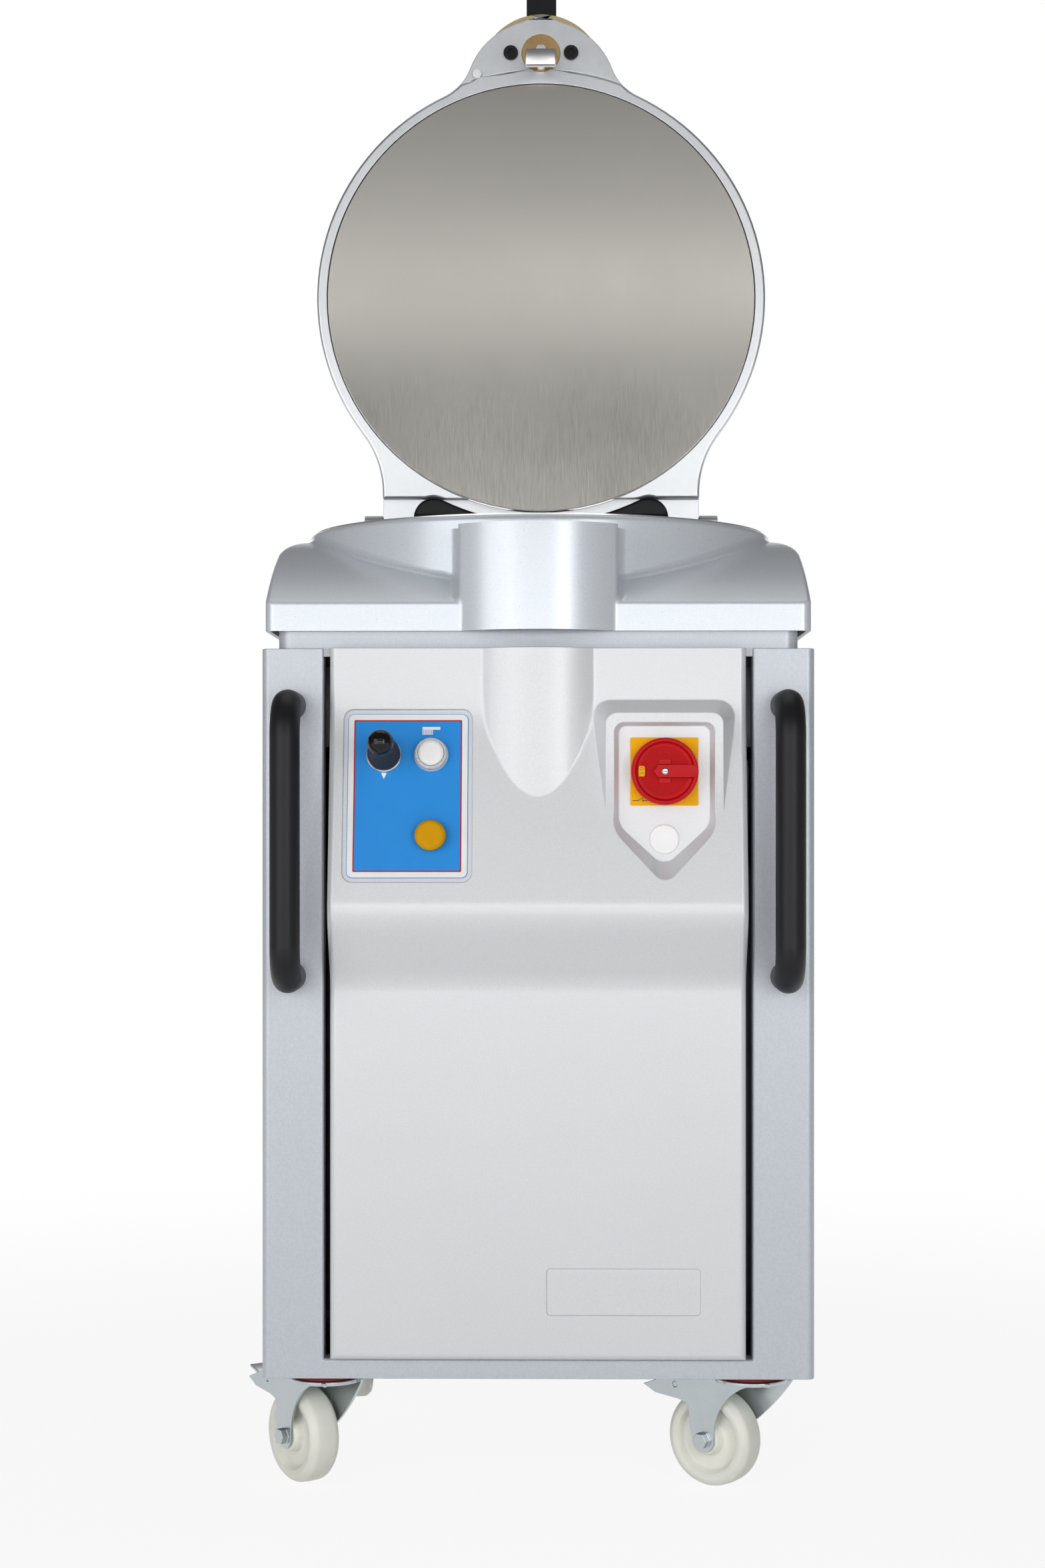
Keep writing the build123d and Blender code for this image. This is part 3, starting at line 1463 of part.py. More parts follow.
hub_front = lid_face_y + lock_hub_start
hub_back = hub_front + lock_hub_thickness
tongue_front = nose_face_y - tongue_reach
crank_front = nose_face_y - crank_reach
crank_back = nose_face_y - 2 * disc_proud
with BuildPart() as lock_tongue:
    with BuildSketch(facing(tongue_front)):
        with Locations((0, lock_z - tongue_offset)):
            Rectangle(tongue_width, tongue_height)
    extrude(amount=-tongue_thickness)
    with BuildSketch(facing(tongue_front)):
        with Locations((0, lock_z - tongue_offset)):
            Circle(tongue_neck)
    extrude(amount=tongue_front - crank_back)
    with BuildSketch(facing(crank_front)):
        with Locations((0, lock_z - tongue_offset)):
            Rectangle(2 * tongue_neck, tongue_offset, align=(Align.CENTER, Align.MIN))
        with Locations((0, lock_z)):
            Circle(lock_shaft_radius)
    extrude(amount=crank_front - crank_back)
    with BuildSketch(facing(crank_front)):
        with Locations((0, lock_z)):
            Circle(lock_shaft_radius)
    extrude(amount=crank_front - hub_back)
save(lock_tongue, "lock_tongue")

lever_y = (hub_front + hub_back) / 2
with BuildPart() as lock_hub:
    with BuildSketch(facing(hub_front)):
        with Locations((0, lock_z)):
            Circle(lock_hub_radius)
    extrude(amount=-lock_hub_thickness)
    with BuildSketch(facing(lock_boss_end + disc_proud)):
        with Locations((0, lock_z)):
            Circle(lock_neck_radius)
    extrude(amount=lock_boss_end + disc_proud - hub_front)
    with BuildSketch(facing(lid_face_y)):
        with Locations((0, lock_z)):
            Circle(lock_shaft_radius)
    extrude(amount=lid_face_y - hub_back, mode=Mode.SUBTRACT)
    with Locations((0, lever_y, lock_z + lever_start)):
        Box(lever_width, lever_thickness, lever_reach, align=bottom_up, mode=Mode.SUBTRACT)
save(lock_hub, "lock_hub")

with BuildPart() as lock_lever:
    with Locations((0, lever_y, lock_z + lever_start)):
        Box(lever_width, lever_thickness, lever_reach - lever_start, align=bottom_up)
save(lock_lever, "lock_lever")

with BuildPart() as lever_grip:
    with BuildSketch(Plane.XY.offset(lock_z + grip_start)):
        with Locations((0, lever_y)):
            grip_depth = lever_thickness + 2 * grip_wall
            SlotOverall(lever_width + 2 * grip_wall, grip_depth)
    extrude(amount=grip_length)
    fillet(lever_grip.faces().sort_by(Axis.Z)[-1].edges(), grip_depth / 2 - grip_wall / 2)
    with Locations((0, lever_y, lock_z + lever_start)):
        Box(lever_width, lever_thickness, lever_reach - lever_start, align=bottom_up, mode=Mode.SUBTRACT)
save(lever_grip, "lever_grip")

# Castors
with BuildPart() as castor_plates:
    with BuildSketch(Plane.XY.offset(plate_bottom)):
        with Locations(*castor_spots):
            Rectangle(castor_plate_x, castor_plate_y)
    extrude(amount=castor_plate)
    with BuildSketch(Plane.XY.offset(race_bottom)):
        with Locations(*castor_spots):
            Circle(race_radius)
    extrude(amount=race_height)
    with BuildSketch(Plane.XY.offset(race_bottom)):
        with Locations(*castor_spots):
            Circle(kingpin_radius + running_fit)
        with Locations(*castor_bolt_spots):
            Circle(bolt_radius + bolt_clearance)
    extrude(amount=race_height + castor_plate, mode=Mode.SUBTRACT)
save(castor_plates, "castor_plates")

with BuildPart() as castor_seals:
    with BuildSketch(Plane.XY.offset(seal_bottom)):
        with Locations(*castor_spots):
            Circle(seal_radius)
            Circle(seal_bore, mode=Mode.SUBTRACT)
    extrude(amount=seal_thickness)
save(castor_seals, "castor_seals")

axle = Vector(castor_trail, wheel_radius)
leg_plane_offset = wheel_hub_width / 2 + fork_gap
axle_half = leg_plane_offset + fork_wall
for name, (x, y, trail) in castor_corners.items():
    along = Vector(cos(radians(trail)), sin(radians(trail)), 0)
    side_plane = Plane(origin=(x, y, 0), x_dir=along, z_dir=(along.Y, -along.X, 0))
    braked = name.startswith("front")
    if braked:
        leg_top = [axle + Vector(*spot) for spot in wing_outline]
        leg_top.append(Vector(castor_trail + wing_root, crown_top))
    else:
        leg_top = [axle + Vector(*fork_back), Vector(crown_radius, crown_top)]

    with BuildPart() as fork:
        for side in (-1, 1):
            with BuildSketch(side_plane.offset(side * (leg_plane_offset + fork_wall / 2))):
                with BuildLine():
                    ThreePointArc(
                        axle + Vector(-fork_eye, 0),
                        axle + Vector(0, -fork_eye),
                        axle + Vector(fork_eye, 0),
                    )
                    Polyline(
                        axle + Vector(fork_eye, 0),
                        axle + Vector(*fork_heel),
                        *leg_top,
                        (-fork_root, crown_top),
                        (-fork_root, crown_bottom),
                    )
                    ThreePointArc(
                        Vector(-fork_root, crown_bottom),
                        axle + Vector(*fork_bows[side]),
                        axle + Vector(-fork_eye, 0),
                    )
                make_face()
            extrude(amount=fork_wall / 2, both=True)
        with Locations((x, y, crown_bottom)):
            Cylinder(crown_radius, crown_thickness, align=bottom_up)
            Cylinder(kingpin_radius, base_bottom - kingpin_gap - crown_bottom, align=bottom_up)
        with BuildSketch(side_plane):
            with Locations(axle):
                Circle(axle_radius)
        extrude(amount=axle_half + axle_head_height, both=True)
        for side in (-1, 1):
            with BuildSketch(side_plane.offset(side * axle_half)):
                with Locations(axle):
                    RegularPolygon(axle_head, 6)
            extrude(amount=side * axle_head_height)
        if braked:
            with BuildSketch(side_plane):
                with Locations(axle + Vector(*pedal_pin_spot)):
                    Circle(pedal_pin + running_fit)
            extrude(amount=axle_half, both=True, mode=Mode.SUBTRACT)
    save(fork, f"{name}_fork")

    with BuildPart() as wheel:
        with BuildSketch(side_plane):
            with Locations(axle):
                Circle(wheel_radius)
        extrude(amount=wheel_width / 2, both=True)
        fillet(wheel.edges().filter_by(GeomType.CIRCLE), wheel_edge)
        for side in (-1, 1):
            with BuildSketch(side_plane.offset(side * (wheel_width / 2 - wheel_dish_depth))):
                with Locations(axle):
                    Circle(wheel_dish_radius)
            extrude(amount=side * wheel_dish_depth, mode=Mode.SUBTRACT, taper=-wheel_dish_draft)
        with BuildSketch(side_plane):
            with Locations(axle):
                Circle(wheel_hub_radius)
        extrude(amount=wheel_hub_width / 2, both=True)
        with BuildSketch(side_plane):
            with Locations(axle):
                Circle(axle_radius + running_fit)
        extrude(amount=wheel_hub_width, both=True, mode=Mode.SUBTRACT)
    save(wheel, f"{name}_wheel")

    if braked:
        with BuildPart() as brake_pedal:
            with BuildSketch(side_plane):
                with BuildLine():
                    Polyline(*[axle + Vector(*spot) for spot in pedal_line])
                    offset(amount=pedal_thickness / 2, side=Side.BOTH)
                make_face()
            extrude(amount=pedal_width / 2, both=True)
            with BuildSketch(side_plane):
                with Locations(axle + Vector(*pedal_pin_spot)):
                    Circle(pedal_pin)
            extrude(amount=axle_half - control_fit, both=True)
        save(brake_pedal, f"{name}_brake_pedal")
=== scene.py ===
import json
from math import copysign, cos, hypot, pi, radians, sin, tan

import bmesh
import bpy
from mathutils import Matrix, Vector

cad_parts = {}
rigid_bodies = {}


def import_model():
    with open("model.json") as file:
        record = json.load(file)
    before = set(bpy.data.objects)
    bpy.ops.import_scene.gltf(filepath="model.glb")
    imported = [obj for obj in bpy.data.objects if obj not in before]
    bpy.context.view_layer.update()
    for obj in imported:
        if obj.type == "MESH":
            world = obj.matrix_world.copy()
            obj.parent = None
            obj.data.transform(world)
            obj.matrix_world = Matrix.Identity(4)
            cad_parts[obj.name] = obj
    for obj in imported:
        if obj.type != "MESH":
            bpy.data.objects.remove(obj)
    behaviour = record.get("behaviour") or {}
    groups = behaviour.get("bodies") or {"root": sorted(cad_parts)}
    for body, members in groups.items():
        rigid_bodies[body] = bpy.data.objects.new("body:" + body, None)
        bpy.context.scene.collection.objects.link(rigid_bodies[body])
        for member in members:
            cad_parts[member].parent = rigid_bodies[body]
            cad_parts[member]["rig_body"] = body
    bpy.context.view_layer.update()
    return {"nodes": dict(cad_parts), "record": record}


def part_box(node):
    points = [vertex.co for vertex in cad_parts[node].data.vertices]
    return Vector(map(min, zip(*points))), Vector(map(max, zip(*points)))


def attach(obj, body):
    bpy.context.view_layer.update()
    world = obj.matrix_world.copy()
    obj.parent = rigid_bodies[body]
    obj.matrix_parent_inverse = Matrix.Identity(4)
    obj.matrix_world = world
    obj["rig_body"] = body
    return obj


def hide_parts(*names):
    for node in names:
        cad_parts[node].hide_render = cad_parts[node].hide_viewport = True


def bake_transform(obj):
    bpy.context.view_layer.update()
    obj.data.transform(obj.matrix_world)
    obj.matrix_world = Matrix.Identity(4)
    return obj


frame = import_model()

scene = bpy.context.scene
scene.view_settings.view_transform = "Standard"
cad = frame["nodes"]
mm = 0.001


class Wire:
    # one socket of a node tree, so that sums on it read as plain sums

    def __init__(self, tree, socket=None):
        self.tree = tree
        self.socket = socket

    def node(self, kind, settings=None, sockets=None, out=0):
        made = self.tree.nodes.new(kind)
        for key, value in (settings or {}).items():
            setattr(made, key, value)
        for key, value in (sockets or {}).items():
            if isinstance(value, Wire):
                self.tree.links.new(value.socket, made.inputs[key])
            else:
                made.inputs[key].default_value = value
        return Wire(self.tree, made.outputs[out]) if made.outputs else None

    def maths(self, operation, first, second=0.0):
        return self.node("ShaderNodeMath", {"operation": operation}, {0: first, 1: second})

    def __add__(self, other):
        return self.maths("ADD", self, other)

    def __radd__(self, other):
        return self.maths("ADD", other, self)

    def __sub__(self, other):
        return self.maths("SUBTRACT", self, other)

    def __rsub__(self, other):
        return self.maths("SUBTRACT", other, self)

    def __mul__(self, other):
        return self.maths("MULTIPLY", self, other)

    def __rmul__(self, other):
        return self.maths("MULTIPLY", other, self)

    def __truediv__(self, other):
        return self.maths("DIVIDE", self, other)

    def __rtruediv__(self, other):
        return self.maths("DIVIDE", other, self)


def surfaceSpot(wire, stretch=(1, 1, 1)):
    spot = wire.node("ShaderNodeTexCoord", out="Object")
    return wire.node("ShaderNodeMapping", None, {"Vector": spot, "Scale": stretch})


def noise(wire, spot, scale, detail=2.0, roughness=0.5):
    sockets = {"Vector": spot, "Scale": scale, "Detail": detail, "Roughness": roughness}
    return wire.node("ShaderNodeTexNoise", None, sockets)


def tint(wire, factor, first, second):
    sockets = {0: factor}
    for key, colour in ((6, first), (7, second)):
        sockets[key] = colour if isinstance(colour, Wire) else (*colour, 1.0)
    return wire.node("ShaderNodeMix", {"data_type": "RGBA"}, sockets, out=2)


def bump(wire, height, strength, depth):
    return wire.node("ShaderNodeBump", None, {"Height": height, "Strength": strength, "Distance": depth})


def band(wire, value, low, high):
    limits = {"Value": value, "From Min": low, "From Max": high}
    return wire.node("ShaderNodeMapRange", {"interpolation_type": "SMOOTHSTEP"}, limits)


def finish(name, sockets):
    material = bpy.data.materials.new(name)
    material.use_nodes = True
    tree = material.node_tree
    tree.nodes.clear()
    wire = Wire(tree)
    shader = wire.node("ShaderNodeBsdfPrincipled", None, sockets(wire))
    wire.node("ShaderNodeOutputMaterial", None, {"Surface": shader})
    return material


def shade(colour, factor):
    return tuple(min(1.0, channel * factor) for channel in colour)


# a colour that wanders between a darker and a lighter tone of itself
def toned(wire, factor, colour, dark, light):
    return tint(wire, factor, shade(colour, dark), shade(colour, light))


# powder paint, with orange peel and faint clouds in its tone
paintCoat = {
    "cloud": 5.0, "cloudTones": (0.96, 1.04), "speck": 1.8, "speckBand": (0.3, 0.7),
    "speckTones": (0.9, 1.09), "speckShare": 0.4, "shineSpread": 0.1, "coat": 0.25, "coatRoughness": 0.25,
    "depth": 0.25,
}


def paintFinish(name, look):
    def sockets(wire):
        spot = surfaceSpot(wire)
        peel = noise(wire, spot, look["peel"], 1.0)
        cloud = noise(wire, spot, paintCoat["cloud"], 3.0)
        speck = noise(wire, spot, look["peel"] * paintCoat["speck"], 1.0)
        tone = toned(wire, cloud, look["colour"], *paintCoat["cloudTones"])
        speckMask = band(wire, speck, *paintCoat["speckBand"])
        grain = toned(wire, speckMask, look["colour"], *paintCoat["speckTones"])
        return {
            "Base Color": tint(wire, paintCoat["speckShare"], tone, grain),
            "Roughness": look["roughness"] + paintCoat["shineSpread"] * (peel - 0.5),
            "Metallic": look["metallic"],
            "Coat Weight": paintCoat["coat"],
            "Coat Roughness": paintCoat["coatRoughness"],
            "Normal": bump(wire, peel, look["strength"], paintCoat["depth"] * mm),
        }

    return finish(name, sockets)


coverLook = {
    "colour": (0.69, 0.70, 0.72), "peel": 520.0, "roughness": 0.36, "metallic": 0.15, "strength": 0.22,
}
coverPaint = paintFinish("coverPaint", coverLook)
topLook = {
    "colour": (0.67, 0.71, 0.76), "peel": 420.0, "roughness": 0.30, "metallic": 0.25, "strength": 0.12,
}
topPaint = paintFinish("topPaint", topLook)
cabinetLook = {
    "colour": (0.52, 0.55, 0.60), "peel": 260.0, "roughness": 0.36, "metallic": 0.2, "strength": 0.05,
}
cabinetPaint = paintFinish("cabinetPaint", cabinetLook)


# metal with fine lines along one direction and soft stains
metalSkin = {"lineTones": (0.8, 1.2), "cloudSpread": 0.12, "lineSpread": 0.4, "depth": 0.1}


def metalFinish(name, look):
    def sockets(wire):
        lines = noise(wire, surfaceSpot(wire, look["stretch"]), 1.0, 3.0, 0.6)
        cloud = noise(wire, surfaceSpot(wire), look["cloud"], 3.0)
        worn = toned(wire, cloud, look["colour"], 1 - look["stain"], 1 + look["stain"])
        line = toned(wire, lines, look["colour"], *metalSkin["lineTones"])
        stained = look["roughness"] + metalSkin["cloudSpread"] * (cloud - 0.5)
        return {
            "Base Color": tint(wire, look["lines"], worn, line),
            "Metallic": 1.0,
            "Roughness": stained + metalSkin["lineSpread"] * look["lines"] * (lines - 0.5),
            "Normal": bump(wire, lines, look["strength"], metalSkin["depth"] * mm),
        }

    return finish(name, sockets)


discSteelLook = {
    "colour": (0.43, 0.415, 0.385), "stretch": (900, 900, 60), "cloud": 3.0, "stain": 0.03, "lines": 0.2,
    "roughness": 0.18, "strength": 0.004,
}
discSteel = metalFinish("discSteel", discSteelLook)
castAlloyLook = {
    "colour": (0.66, 0.68, 0.70), "stretch": (160, 160, 160), "cloud": 22.0, "stain": 0.08, "lines": 0.25,
    "roughness": 0.40, "strength": 0.10,
}
castAlloy = metalFinish("castAlloy", castAlloyLook)
steelLook = {
    "colour": (0.58, 0.58, 0.58), "stretch": (300, 300, 60), "cloud": 14.0, "stain": 0.05, "lines": 0.3,
    "roughness": 0.30, "strength": 0.06,
}
steel = metalFinish("steel", steelLook)
polishedLook = {
    "colour": (0.70, 0.70, 0.71), "stretch": (500, 80, 500), "cloud": 30.0, "stain": 0.04, "lines": 0.2,
    "roughness": 0.30, "strength": 0.03,
}
polishedSteel = metalFinish("polishedSteel", polishedLook)
bronzeLook = {
    "colour": (0.56, 0.36, 0.17), "stretch": (700, 700, 700), "cloud": 60.0, "stain": 0.12, "lines": 0.25,
    "roughness": 0.28, "strength": 0.04,
}
bronze = metalFinish("bronze", bronzeLook)
zincLook = {
    "colour": (0.50, 0.54, 0.56), "stretch": (90, 90, 30), "cloud": 34.0, "stain": 0.14, "lines": 0.25,
    "roughness": 0.26, "strength": 0.05,
}
zinc = metalFinish("zinc", zincLook)
yellowZincLook = {
    "colour": (0.66, 0.53, 0.30), "stretch": (90, 90, 90), "cloud": 28.0, "stain": 0.14, "lines": 0.2,
    "roughness": 0.32, "strength": 0.05,
}
yellowZinc = metalFinish("yellowZinc", yellowZincLook)
frameSteelLook = {
    "colour": (0.30, 0.31, 0.32), "stretch": (80, 80, 80), "cloud": 12.0, "stain": 0.12, "lines": 0.3,
    "roughness": 0.45, "strength": 0.08,
}
frameSteel = metalFinish("frameSteel", frameSteelLook)


# moulded or printed surface without metal in it
plasticSkin = {
    "cloud": 40.0, "cloudTones": (0.94, 1.05), "shineSpread": 0.12, "shine": 0.5, "depth": 0.2,
    "glowRadius": (1.0, 0.9, 0.7), "glowDepth": 4.0, "clearIndex": 1.46,
}


def plasticFinish(name, look):
    def sockets(wire):
        spot = surfaceSpot(wire)
        grain = noise(wire, spot, look["grain"])
        cloud = noise(wire, spot, plasticSkin["cloud"])
        made = {
            "Base Color": toned(wire, cloud, look["colour"], *plasticSkin["cloudTones"]),
            "Roughness": look["roughness"] + plasticSkin["shineSpread"] * (grain - 0.5),
            "Specular IOR Level": look.get("shine", plasticSkin["shine"]),
            "Normal": bump(wire, grain, look["strength"], plasticSkin["depth"] * mm),
        }
        if "glow" in look:
            made["Subsurface Weight"] = look["glow"]
            made["Subsurface Radius"] = plasticSkin["glowRadius"]
            made["Subsurface Scale"] = plasticSkin["glowDepth"] * mm
        if "clear" in look:
            made["Transmission Weight"] = look["clear"]
            made["IOR"] = plasticSkin["clearIndex"]
        return made

    return finish(name, sockets)


handleLook = {
    "colour": (0.009, 0.009, 0.011), "grain": 900.0, "roughness": 0.42, "strength": 0.25, "shine": 0.25,
}
satinBlack = plasticFinish("satinBlack", handleLook)
ballLook = {"colour": (0.005, 0.005, 0.006), "grain": 60.0, "roughness": 0.05, "strength": 0.0, "shine": 0.3}
glossBlack = plasticFinish("glossBlack", ballLook)
rubberLook = {"colour": (0.020, 0.021, 0.023), "grain": 1300.0, "roughness": 0.62, "strength": 0.2}
blackRubber = plasticFinish("blackRubber", rubberLook)
whiteLook = {"colour": (0.96, 0.96, 0.95), "grain": 500.0, "roughness": 0.34, "strength": 0.03, "glow": 0.15}
whitePlastic = plasticFinish("whitePlastic", whiteLook)
collarLook = {
    "colour": (0.86, 0.87, 0.87), "grain": 300.0, "roughness": 0.26, "strength": 0.02, "clear": 0.35,
}
clearCollar = plasticFinish("clearCollar", collarLook)
amberLook = {
    "colour": (0.70, 0.335, 0.0005), "grain": 500.0, "roughness": 0.45, "strength": 0.03, "shine": 0.1,
}
amberPlastic = plasticFinish("amberPlastic", amberLook)
redLook = {"colour": (0.58, 0.006, 0.010), "grain": 700.0, "roughness": 0.4, "strength": 0.06, "shine": 0.15}
redPlastic = plasticFinish("redPlastic", redLook)
# darker red for the knob's dish: painted shade of the recess; it is also a little rougher than the rim
dishShadeLook = {"colour": (0.50, 0.005, 0.008), "grain": 700.0, "roughness": 0.5, "strength": 0.1, "shine": 0.1}
dishShadeRed = plasticFinish("dishShadeRed", dishShadeLook)
yellowLook = {
    "colour": (0.98, 0.47, 0.002), "grain": 700.0, "roughness": 0.45, "strength": 0.04, "shine": 0.1,
}
yellowPlastic = plasticFinish("yellowPlastic", yellowLook)
wheelLook = {"colour": (0.90, 0.90, 0.82), "grain": 240.0, "roughness": 0.4, "strength": 0.05, "glow": 0.25}
wheelPlastic = plasticFinish("wheelPlastic", wheelLook)
sealLook = {"colour": (0.26, 0.016, 0.016), "grain": 500.0, "roughness": 0.5, "strength": 0.05}
sealRed = plasticFinish("sealRed", sealLook)
printLook = {
    "colour": (0.022, 0.280, 0.760), "grain": 900.0, "roughness": 0.5, "strength": 0.05, "shine": 0.2,
}
bluePrint = plasticFinish("bluePrint", printLook)
whiteInkLook = {
    "colour": (0.88, 0.88, 0.88), "grain": 900.0, "roughness": 0.5, "strength": 0.03, "shine": 0.2,
}
whiteInk = plasticFinish("whiteInk", whiteInkLook)
redInkLook = {
    "colour": (0.42, 0.025, 0.040), "grain": 900.0, "roughness": 0.5, "strength": 0.03, "shine": 0.2,
}
redInk = plasticFinish("redInk", redInkLook)
# black for printed marks, and also used as painted shade in the knob screw's slot
blackInkAndShadeLook = {"colour": (0.02, 0.02, 0.02), "grain": 900.0, "roughness": 0.5, "strength": 0.03}
blackInkAndShade = plasticFinish("blackInkAndShade", blackInkAndShadeLook)
print("finishes made:", len(bpy.data.materials))


# a finished mesh becomes a piece that rides on its body
def addPiece(name, mesh, material, body, slot, *stoodFor):
    mesh.name = name
    mesh.materials.clear()
    mesh.materials.append(material)
    piece = bpy.data.objects.new(name, mesh)
    scene.collection.objects.link(piece)
    if body:
        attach(piece, body)
    if stoodFor:
        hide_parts(*stoodFor)
    return piece


def settled(work):
    bpy.context.view_layer.update()
    graph = bpy.context.evaluated_depsgraph_get()
    mesh = bpy.data.meshes.new_from_object(work.evaluated_get(graph))
    old = work.data
    bpy.data.objects.remove(work)
    if isinstance(old, bpy.types.Mesh) and old.users == 0:
        bpy.data.meshes.remove(old)
    return mesh


def workObject(data):
    if isinstance(data, bmesh.types.BMesh):
        mesh = bpy.data.meshes.new("work")
        data.to_mesh(mesh)
        data.free()
        data = mesh
    work = bpy.data.objects.new("work", data)
    scene.collection.objects.link(work)
    return work


def smoothed(mesh, angle=35.0):
    mesh.polygons.foreach_set("use_smooth", [True] * len(mesh.polygons))
    mesh.set_sharp_from_angle(angle=radians(angle))
    return mesh


def meshOf(bm):
    mesh = bpy.data.meshes.new("work")
    bmesh.ops.recalc_face_normals(bm, faces=bm.faces)
    bm.to_mesh(mesh)
    bm.free()
    return smoothed(mesh)


# a node's own mesh with its corners joined
def cadMesh(node):
    bm = bmesh.new()
    bm.from_mesh(cad[node].data)
    bmesh.ops.remove_doubles(bm, verts=bm.verts, dist=1e-6)
    return bm


# faces that look up stay in triangles on a node with a thin rim, and other flat ones are merged
flatMerge = {"angle": 0.4, "thinRims": ("cabinet_shell",), "upward": 0.999}


def cadCopy(node):
    bm = cadMesh(node)
    thin = node in flatMerge["thinRims"]
    rim = {face for face in bm.faces if thin and face.normal.z > flatMerge["upward"]}
    merged = [edge for edge in bm.edges if not rim.issuperset(edge.link_faces)]
    bmesh.ops.dissolve_limit(bm, angle_limit=radians(flatMerge["angle"]), verts=bm.verts, edges=merged)
    return bm


def pieceName(node):
    words = node.split("_")
    return words[0] + "".join(word.capitalize() for word in words[1:])


# copy of a node whose sharp edges are broken, as paint, casting and pressing leave them
def softCopy(node, material, slot, edge, angle=32.0, bm=None, wide=0.0):
    bm = bm or cadCopy(node)
    for face in bm.faces:
        face.smooth = True
    weighted = bm.edges.layers.float.get("bevel_weight_edge")
    work = workObject(bm)
    widths = [("ANGLE", edge)] if weighted is None else [("WEIGHT", wide), ("ANGLE", edge)]
    for method, width in widths:
        bevel = work.modifiers.new("edges", "BEVEL")
        bevel.width = width * mm
        bevel.segments = 2
        bevel.limit_method = method
        bevel.angle_limit = radians(angle)
        bevel.miter_outer = "MITER_ARC"
        bevel.use_clamp_overlap = False
        bevel.harden_normals = True
    level = work.modifiers.new("normals", "WEIGHTED_NORMAL")
    level.weight = 100
    cut = work.modifiers.new("triangles", "TRIANGULATE")
    cut.min_vertices = 5
    cut.keep_custom_normals = True
    return addPiece(pieceName(node), settled(work), material, cad[node]["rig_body"], slot, node)


# local millimetres, with z out of the surface, turned into the object's metres
def basis(spot, right, up):
    right = Vector(right).normalized()
    up = Vector(up).normalized()
    turn = Matrix((right, up, right.cross(up))).transposed().to_4x4()
    return Matrix.Translation(Vector(spot) * mm) @ turn @ Matrix.Scale(mm, 4)


def facing(x, y, z):
    return basis((x, y, z), (1, 0, 0), (0, 0, 1))


# corners given as (x, y, radius) are rounded
def rounded(points, steps=5, loop=False):
    path = []
    count = len(points)
    for i, (x, y, *soft) in enumerate(points):
        here = Vector((x, y))
        if not soft or (not loop and i in (0, count - 1)):
            path.append((x, y))
            continue
        before = (Vector(points[i - 1][:2]) - here).normalized()
        after = (Vector(points[(i + 1) % count][:2]) - here).normalized()
        half = before.angle(after) / 2
        centre = here + (before + after).normalized() * (soft[0] / sin(half))
        start = here + before * (soft[0] / tan(half)) - centre
        end = here + after * (soft[0] / tan(half)) - centre
        for k in range(steps + 1):
            path.append(tuple(centre + start.slerp(end, k / steps) * soft[0]))
    return path


def plateOutline(width, height, radius, steps=6):
    x, y = width / 2, height / 2
    corners = [(x, -y, radius), (x, y, radius), (-x, y, radius), (-x, -y, radius)]
    return rounded(corners, steps, loop=True)


# profile of (radius, height) spun about the local z axis
def lathe(profile, place, steps=64, loop=False):
    bm = bmesh.new()
    rings = []
    for radius, height in profile:
        if radius < 1e-6:
            rings.append([bm.verts.new((0, 0, height))])
            continue
        angles = [2 * pi * i / steps for i in range(steps)]
        rings.append([bm.verts.new((radius * cos(a), radius * sin(a), height)) for a in angles])
    pairs = list(zip(rings, rings[1:]))
    if loop:
        pairs.append((rings[-1], rings[0]))
    for low, high in pairs:
        for i in range(steps):
            j = (i + 1) % steps
            corners = [low[i % len(low)], low[j % len(low)], high[j % len(high)], high[i % len(high)]]
            bm.faces.new(dict.fromkeys(corners))
    bmesh.ops.recalc_face_normals(bm, faces=bm.faces)
    bm.transform(place)
    return bm


# outline raised along the local z axis, with a hole of as many points if one is given
def prism(outline, place, low, high, hole=None):
    bm = bmesh.new()
    loops = []
    for line in (outline, hole) if hole else (outline,):
        loops.append([[bm.verts.new((x, y, level)) for x, y in line] for level in (low, high)])
    for bottom, top in loops:
        for i in range(len(bottom)):
            j = (i + 1) % len(bottom)
            bm.faces.new((bottom[i], bottom[j], top[j], top[i]))
    if hole:
        for level in (0, 1):
            outer, inner = loops[0][level], loops[1][level]
            for i in range(len(outer)):
                j = (i + 1) % len(outer)
                bm.faces.new((outer[i], outer[j], inner[j], inner[i]))
    else:
        bm.faces.new(loops[0][0])
        bm.faces.new(loops[0][1])
    bmesh.ops.recalc_face_normals(bm, faces=bm.faces)
    bm.transform(place)
    return bm


def broken(bm, edge, segments=2, angle=40.0):
    sharp = [e for e in bm.edges if e.is_manifold and e.calc_face_angle() > radians(angle)]
    settings = {"segments": segments, "affect": "EDGES", "profile": 0.5, "clamp_overlap": True}
    bmesh.ops.bevel(bm, geom=sharp, offset=edge * mm, **settings)
    return bm


def joined(first, *others):
    for other in others:
        mesh = bpy.data.meshes.new("work")
        other.to_mesh(mesh)
        other.free()
        first.from_mesh(mesh)
        bpy.data.meshes.remove(mesh)
    return first


def lettering(text, size, place, thickness):
    curve = bpy.data.curves.new("work", "FONT")
    curve.body = text
    curve.size = size
    curve.align_x = "CENTER"
    curve.align_y = "CENTER"
    curve.resolution_u = 3
    curve.extrude = thickness / 2
    mesh = settled(workObject(curve))
    bm = bmesh.new()
    bm.from_mesh(mesh)
    bpy.data.meshes.remove(mesh)
    bmesh.ops.remove_doubles(bm, verts=bm.verts, dist=1e-5)
    bm.transform(place @ Matrix.Translation((0, 0, thickness / 2)))
    return bm


